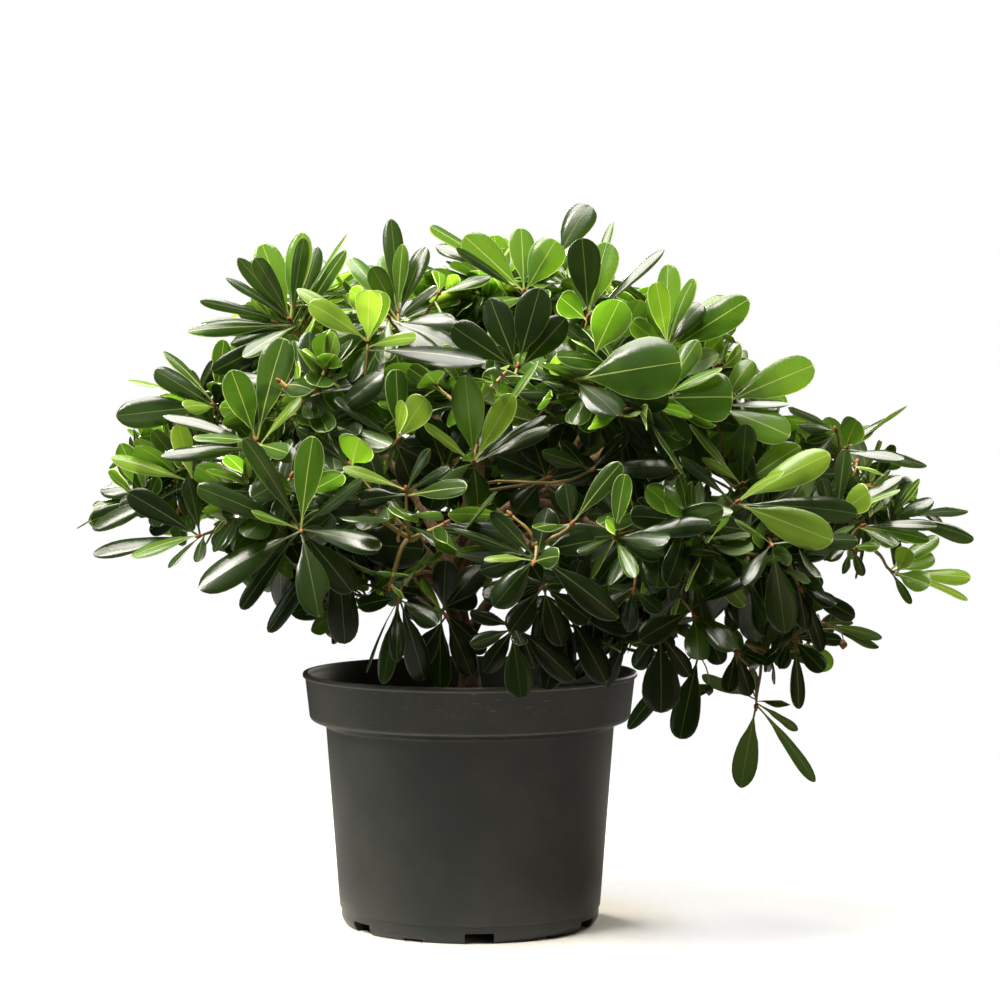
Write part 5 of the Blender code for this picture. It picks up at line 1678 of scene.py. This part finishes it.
def leaf_of(length, share, turn_up, source):
    """One leaf with its own outline, bend, fold and twist. share runs from inner leaves to outer ones."""
    bend = math.radians(source.uniform(*LEAF_BEND_DEG) + OUTER_BEND_DEG * share * source.random())
    return Leaf(
        length=length * source.uniform(1 - SIZE_VARY, 1 + SIZE_VARY), width=source.uniform(*LEAF_WIDTH),
        point=source.uniform(*LEAF_POINT), bend=bend, fold=source.uniform(*LEAF_FOLD),
        twist=math.radians(source.gauss(0, LEAF_TWIST_DEG)), wave=source.uniform(0.0, MOST_WAVE),
        phase=source.uniform(0.0, math.tau), tone=tone_for(turn_up, share, source),
    )


def whorl_leaves(shoot, turn_up, source):
    """The leaves of a whorl, the inner ones erect and the outer ones spreading, and some below it."""
    first_turn = source.uniform(0.0, math.tau)
    full = LEAF_LENGTH * shoot.size * SMALL_LEAVED.get(shoot.mass, 1.0)
    side = shoot.direction.orthogonal().normalized()
    for index in range(shoot.leaves):
        share = (index + 0.5) / shoot.leaves
        lean = taper(LEAF_FIRST_DEG, LEAF_LAST_DEG, share ** LEAF_OPENING)
        length = full * taper(INNER_LEAF, OUTER_LEAF, math.sqrt(share))
        across = Matrix.Rotation(first_turn + index * GOLDEN_TURN, 3, shoot.direction) @ side
        root = shoot.tip - shoot.direction * WHORL_DEPTH * share
        yield root, shoot.direction, lean, across, leaf_of(length, share, turn_up, source)
    for index in range(STEM_LEAVES):
        root, ahead = along(shoot.path, taper(*STEM_LEAF_PLACES, index / (STEM_LEAVES - 1)))
        aside = ahead.orthogonal().normalized()
        across = Matrix.Rotation(first_turn - index * GOLDEN_TURN, 3, ahead) @ aside
        leaf = leaf_of(full * STEM_LEAF_SIZE, 1.0, turn_up - STEM_LEAF_SHADE, source)
        yield root, ahead, STEM_LEAF_DEG, across, leaf


print("leaves from", LEAF_FIRST_DEG, "to", LEAF_LAST_DEG, "degrees off their twig")

# %% [markdown]
# A leaf is placed at its own lean and roll, and hanging shoots let it hang. Where that doesn't fit, it is
# turned and then shortened too, in six tries at most. A whorl that finds room for fewer than three leaves
# isn't grown at all, because a bare twig would stand out.

# %% Leaves by the rule
LEAF_VARY_DEG = 8.0
LEAF_ROLL_DEG = 14.0
HANG_SHARE = 0.4
TRIES = (
    (1.0, 0.0, 0.0), (1.0, -10.0, 0.3), (0.94, 9.0, -0.3),
    (0.88, -20.0, 0.5), (0.8, 16.0, -0.5), (0.7, -8.0, 0.8),
)
YOUNG_FROM = 0.55
FEWEST_LEAVES = 3


def place_leaf(mass, source, root, direction, lean, across, leaf):
    """The corners of a leaf where it finds room, or None."""
    lean += source.uniform(-LEAF_VARY_DEG, LEAF_VARY_DEG)
    roll = source.gauss(0.0, LEAF_ROLL_DEG)
    hang = Vector((0.0, 0.0, min(0.0, mass.turn_up) * HANG_SHARE))
    for scale, change, turn in TRIES:
        angle = math.radians(lean + change)
        out = Matrix.Rotation(turn, 3, direction) @ across
        way = (direction * math.cos(angle) + out * math.sin(angle) + hang).normalized()
        up = Matrix.Rotation(math.radians(roll), 3, way) @ (direction - way * direction.dot(way))
        sheet = leaf_sheet(leaf._replace(length=leaf.length * scale)) @ frame_at(way, up).T + np.array(root)
        within = np.linalg.norm(sheet[-1, 3] - np.array(mass.heart)) <= mass.reach
        if within and inside_crown(sheet) and not hides_seen(sheet) and finds_room(sheet):
            return sheet
    return None


def leaves_mesh(name, leaves):
    """All the leaves of one mass as one mesh."""
    size = len(LEAF_UV)
    corners = np.concatenate([sheet.reshape(-1, 3) for sheet, _ in leaves])
    faces = np.concatenate([LEAF_FACES + index * size for index in range(len(leaves))])
    tags = np.concatenate([tags_of(leaf) for _, leaf in leaves])
    mesh = mesh_of(f"leaves_{name}", corners.tolist(), faces.tolist(), LEAF_MATERIALS, tags)
    layer = mesh.uv_layers.new(name="blade")
    layer.uv.foreach_set("vector", LEAF_UV[faces.ravel() % size].astype(np.float32).ravel())
    return mesh


def leaves_on(shoot, mass, source):
    """The leaves that find room on a shoot by the rule, or none where there are too few."""
    noted = len(trees)
    found = []
    for root, direction, lean, across, leaf in whorl_leaves(shoot, mass.turn_up, source):
        found.append((place_leaf(mass, source, root, direction, lean, across, leaf), leaf))
    if sum(sheet is not None for sheet, _ in found[: shoot.leaves]) < FEWEST_LEAVES:
        del trees[noted:]
        return []
    return [(sheet, leaf) for sheet, leaf in found if sheet is not None]


leafy_shoots, leaf_count = {}, 0
for name, mass in FOLIAGE.items():
    source, leaves = random.Random(f"{name} leaves"), seen_leaves[name]
    leafy_shoots[name] = [shoot for shoot in SHOOTS[name] if isinstance(shoot.leaves, Whorl)]
    for shoot in SHOOTS[name][len(leafy_shoots[name]) :]:
        grown = leaves_on(shoot, mass, source) if inside_crown(np.array(shoot.tip)) else []
        leaves += grown
        leafy_shoots[name] += [shoot] if grown else []
    slot = "young_leaf" if mass.turn_up > YOUNG_FROM else "leaf"
    add_piece(f"leaves_{name}", leaves_mesh(name, leaves), slot, f"foliage_{name}")
    leaf_count += len(leaves)
print("leaves:", leaf_count, "with", leaf_count * len(LEAF_FACES) * 2, "triangles")

# %% [markdown]
# ## Twigs
#
# Young twigs are smooth and tan, with a small ring at each old leaf scar, and end in a brown bud.

# %% Twigs and buds
TWIG_KNOB = 0.16
TWIG_KNOB_RUN = 0.006
BUD_LENGTH = 0.0042
BUD_RADIUS = 0.0017
BUD_RINGS = (-0.3, 0.0, 0.4, 0.8, 1.0)
BUD_BLUNT = 1.02


def plain_skin(name, colour, roughness):
    """A plain satin skin, as young wood and fruit have."""
    material = new_material(name)
    skin = add_node(material, "ShaderNodeBsdfPrincipled", {
        "Base Color": linear(colour), "Roughness": roughness, "IOR": BARK_IOR,
    })
    add_node(material, "ShaderNodeOutputMaterial", {"Surface": skin})
    return material


def knobbly(path):
    """The path's radii, with a small ring at each old leaf scar."""
    run, points = 0.0, []
    for index, (place, radius) in enumerate(path):
        run += (place - path[max(index - 1, 0)][0]).length
        points.append((place, radius * (1 + TWIG_KNOB * math.cos(run / TWIG_KNOB_RUN * math.tau))))
    return points


def build_twigs(name):
    """All the twigs of one mass that carry leaves, each with a bud at its tip."""
    joined = Joined()
    for shoot in leafy_shoots[name]:
        joined.add(*tube(knobbly(shoot.path), TWIG_SIDES), 0)
        bud = [
            (shoot.tip + shoot.direction * BUD_LENGTH * s, BUD_RADIUS * math.sqrt(BUD_BLUNT - s * s))
            for s in BUD_RINGS
        ]
        joined.add(*tube(bud, TWIG_SIDES), 1)
    return mesh_of(f"twigs_{name}", joined.corners, joined.faces, [twig_bark, bud_scales], joined.tags)


twig_bark = plain_skin("bark_young_tan", "#7e6a38", 0.55)
bud_scales = plain_skin("bud_scales_brown", "#84502a", 0.6)
for name in FOLIAGE:
    add_piece(f"twigs_{name}", build_twigs(name), "bark", f"foliage_{name}")
print("twigs:", sum(len(shoots) for shoots in leafy_shoots.values()))

# %% [markdown]
# ## Seed capsules
#
# After flowering the plant sets small three-lobed capsules, each on a short stalk. The photograph shows
# two at the foot of the crown: a ripe brown one and a green one. Each stalk starts at the nearest twig.

# %% Seed capsules
Capsule = namedtuple("Capsule", "mass px py depth skin")
CAPSULE_LENGTH = 0.0088
CAPSULE_RADIUS = 0.0031
CAPSULE_SAG = 1.2
CAPSULE_TIP = 0.08
LOBES = 3
LOBE_DEPTH = 0.10
STALK_RADII = (0.0006, 0.0005)
CAPSULE_SIDES = 24
CAPSULE_RINGS = 12

capsule_brown = plain_skin("capsule_ripe_brown", "#6e4a26", 0.5)
capsule_green = plain_skin("capsule_green", "#34401e", 0.4)
CAPSULES = [
    Capsule("hanging", 843, 638, -0.075, capsule_brown),
    Capsule("low_right", 709, 684, -0.100, capsule_green),
]


def build_capsule(capsule):
    """A stalk from the nearest twig, and a three-lobed fruit that hangs from it."""
    top = place_at(capsule.px, capsule.py, capsule.depth)
    places = [place for shoot in leafy_shoots[capsule.mass] for place, _ in shoot.path[1:-1]]
    root = min(places, key=lambda place: (place - top).length)
    ends = (root, (top - root).normalized(), top, Vector((0.0, 0.0, -1.0)))
    joined = Joined()
    joined.add(*tube(limb_points(*ends, STALK_RADII, count=TWIG_STEPS), TWIG_SIDES), 0)
    line = []
    for ring in range(CAPSULE_RINGS + 1):
        share = ring / CAPSULE_RINGS
        radius = CAPSULE_RADIUS * max(math.sin(math.pi * share ** CAPSULE_SAG), CAPSULE_TIP)
        line.append((top - Vector((0.0, 0.0, share * CAPSULE_LENGTH)), radius))
    corners, faces = tube(line, CAPSULE_SIDES)
    for index, corner in enumerate(corners):
        middle = line[index // CAPSULE_SIDES][0]
        turn = math.tau * (index % CAPSULE_SIDES) / CAPSULE_SIDES
        corners[index] = middle + (corner - middle) * (1 + LOBE_DEPTH * math.cos(LOBES * turn))
    joined.add(corners, faces, 1)
    materials = [twig_bark, capsule.skin]
    return mesh_of(f"capsule_{capsule.mass}", joined.corners, joined.faces, materials, joined.tags)


for capsule in CAPSULES:
    add_piece(f"capsule_{capsule.mass}", build_capsule(capsule), "bark", f"foliage_{capsule.mass}")
print("capsules:", len(CAPSULES))

# %% [markdown]
# ## Floor
#
# The photograph is cut out on white. A pale floor carries the pot's soft shadow: it is whole under the
# pot, three quarters clear from a little way off, so that the shadow stays faint, and melts into the
# white surround further out.

# %% Floor
FLOOR_SIZE = 8.0
FLOOR_NEAR = (0.10, 0.20)
FLOOR_FADE = (0.30, 1.1)
FLOOR_CLEAR = 0.75


def pale_floor():
    """Matt white paper that turns clear with the distance from the pot."""
    material = new_material("floor_pale_paper")
    place = add_node(material, "ShaderNodeTexCoord").outputs["Object"]
    away = add_node(material, "ShaderNodeVectorMath", {0: place}, operation="LENGTH").outputs["Value"]
    near = add_node(material, "ShaderNodeMapRange", {
        "Value": away, 1: FLOOR_NEAR[0], 2: FLOOR_NEAR[1], 3: 0.0, 4: FLOOR_CLEAR,
    }, interpolation_type="SMOOTHSTEP")
    far = add_node(material, "ShaderNodeMapRange", {
        "Value": away, 1: FLOOR_FADE[0], 2: FLOOR_FADE[1], 3: 0.0, 4: 1 - FLOOR_CLEAR,
    }, interpolation_type="SMOOTHSTEP")
    fade = add_node(material, "ShaderNodeMath", {0: near, 1: far}, operation="ADD")
    paper = add_node(material, "ShaderNodeBsdfDiffuse", {"Color": linear("#f4f3f0")})
    clear = add_node(material, "ShaderNodeBsdfTransparent")
    both = add_node(material, "ShaderNodeMixShader", {0: fade, 1: paper, 2: clear})
    add_node(material, "ShaderNodeOutputMaterial", {"Surface": both})
    return material


half = FLOOR_SIZE / 2
floor_corners = [(-half, -half, 0), (half, -half, 0), (half, half, 0), (-half, half, 0)]
floor = bpy.data.objects.new("floor", mesh_of("floor", floor_corners, [(0, 1, 2, 3)], [pale_floor()]))
bpy.context.scene.collection.objects.link(floor)
print("floor:", FLOOR_SIZE, "m")

# %% [markdown]
# ## Light
#
# The light comes as in the photograph. A small strong lamp behind the crown on the left shines through the
# top leaves and makes them glow. The open sky above and a window to the front left give the leathery
# leaves their silver gleams, and three weak broad lamps open the shade. They are area lights, because
# daylight has soft edges. Only the camera sees the surround white: to the leaves it is nearly black, or
# it would wash out their shade.

# %% Lights
CROWN = (0.03, 0.0, 0.36)
LIGHTS = {
    "sky_above": ((-0.4, -0.25, 2.7), 2.0, 280.0, "#fffaf2"),
    "window_front_left": ((-1.6, -1.3, 2.4), 0.9, 130.0, "#fff8ec"),
    "key_behind_left": ((-1.0, 1.9, 2.2), 0.4, 85.0, "#fff4e0"),
    "sky_behind_right": ((1.4, 2.3, 1.2), 1.6, 55.0, "#fff8ea"),
    "left_strip": ((-2.6, -0.4, 0.6), 1.2, 9.0, "#e4fff0"),
    "front_right_fill": ((1.8, -1.8, 0.6), 1.8, 6.0, "#ffdcb4"),
}


def softbox(name, place, size, power, colour):
    """A square area light that looks at the crown and isn't seen itself."""
    light = bpy.data.lights.new(name, "AREA")
    light.size = size
    light.energy = power
    light.color = linear(colour)[:3]
    lamp = bpy.data.objects.new(name, light)
    lamp.location = place
    lamp.rotation_euler = (Vector(CROWN) - Vector(place)).to_track_quat("-Z", "Y").to_euler()
    lamp.visible_camera = False
    bpy.context.scene.collection.objects.link(lamp)


for name, (place, size, power, colour) in LIGHTS.items():
    softbox(name, place, size, power, colour)

world = bpy.data.worlds.new("white_surround")
world.use_nodes = True
world.node_tree.nodes.clear()
by_camera = add_node(world, "ShaderNodeLightPath").outputs["Is Camera Ray"]
surround = add_node(world, "ShaderNodeBackground", {"Color": linear("#ffffff"), "Strength": 0.02})
backdrop = add_node(world, "ShaderNodeBackground", {"Color": linear("#ffffff"), "Strength": 1.0})
either = add_node(world, "ShaderNodeMixShader", {0: by_camera, 1: surround, 2: backdrop})
add_node(world, "ShaderNodeOutputWorld", {"Surface": either})
bpy.context.scene.world = world
bpy.context.scene.view_settings.view_transform = "Standard"
print("lights:", len(LIGHTS), "and the surround")
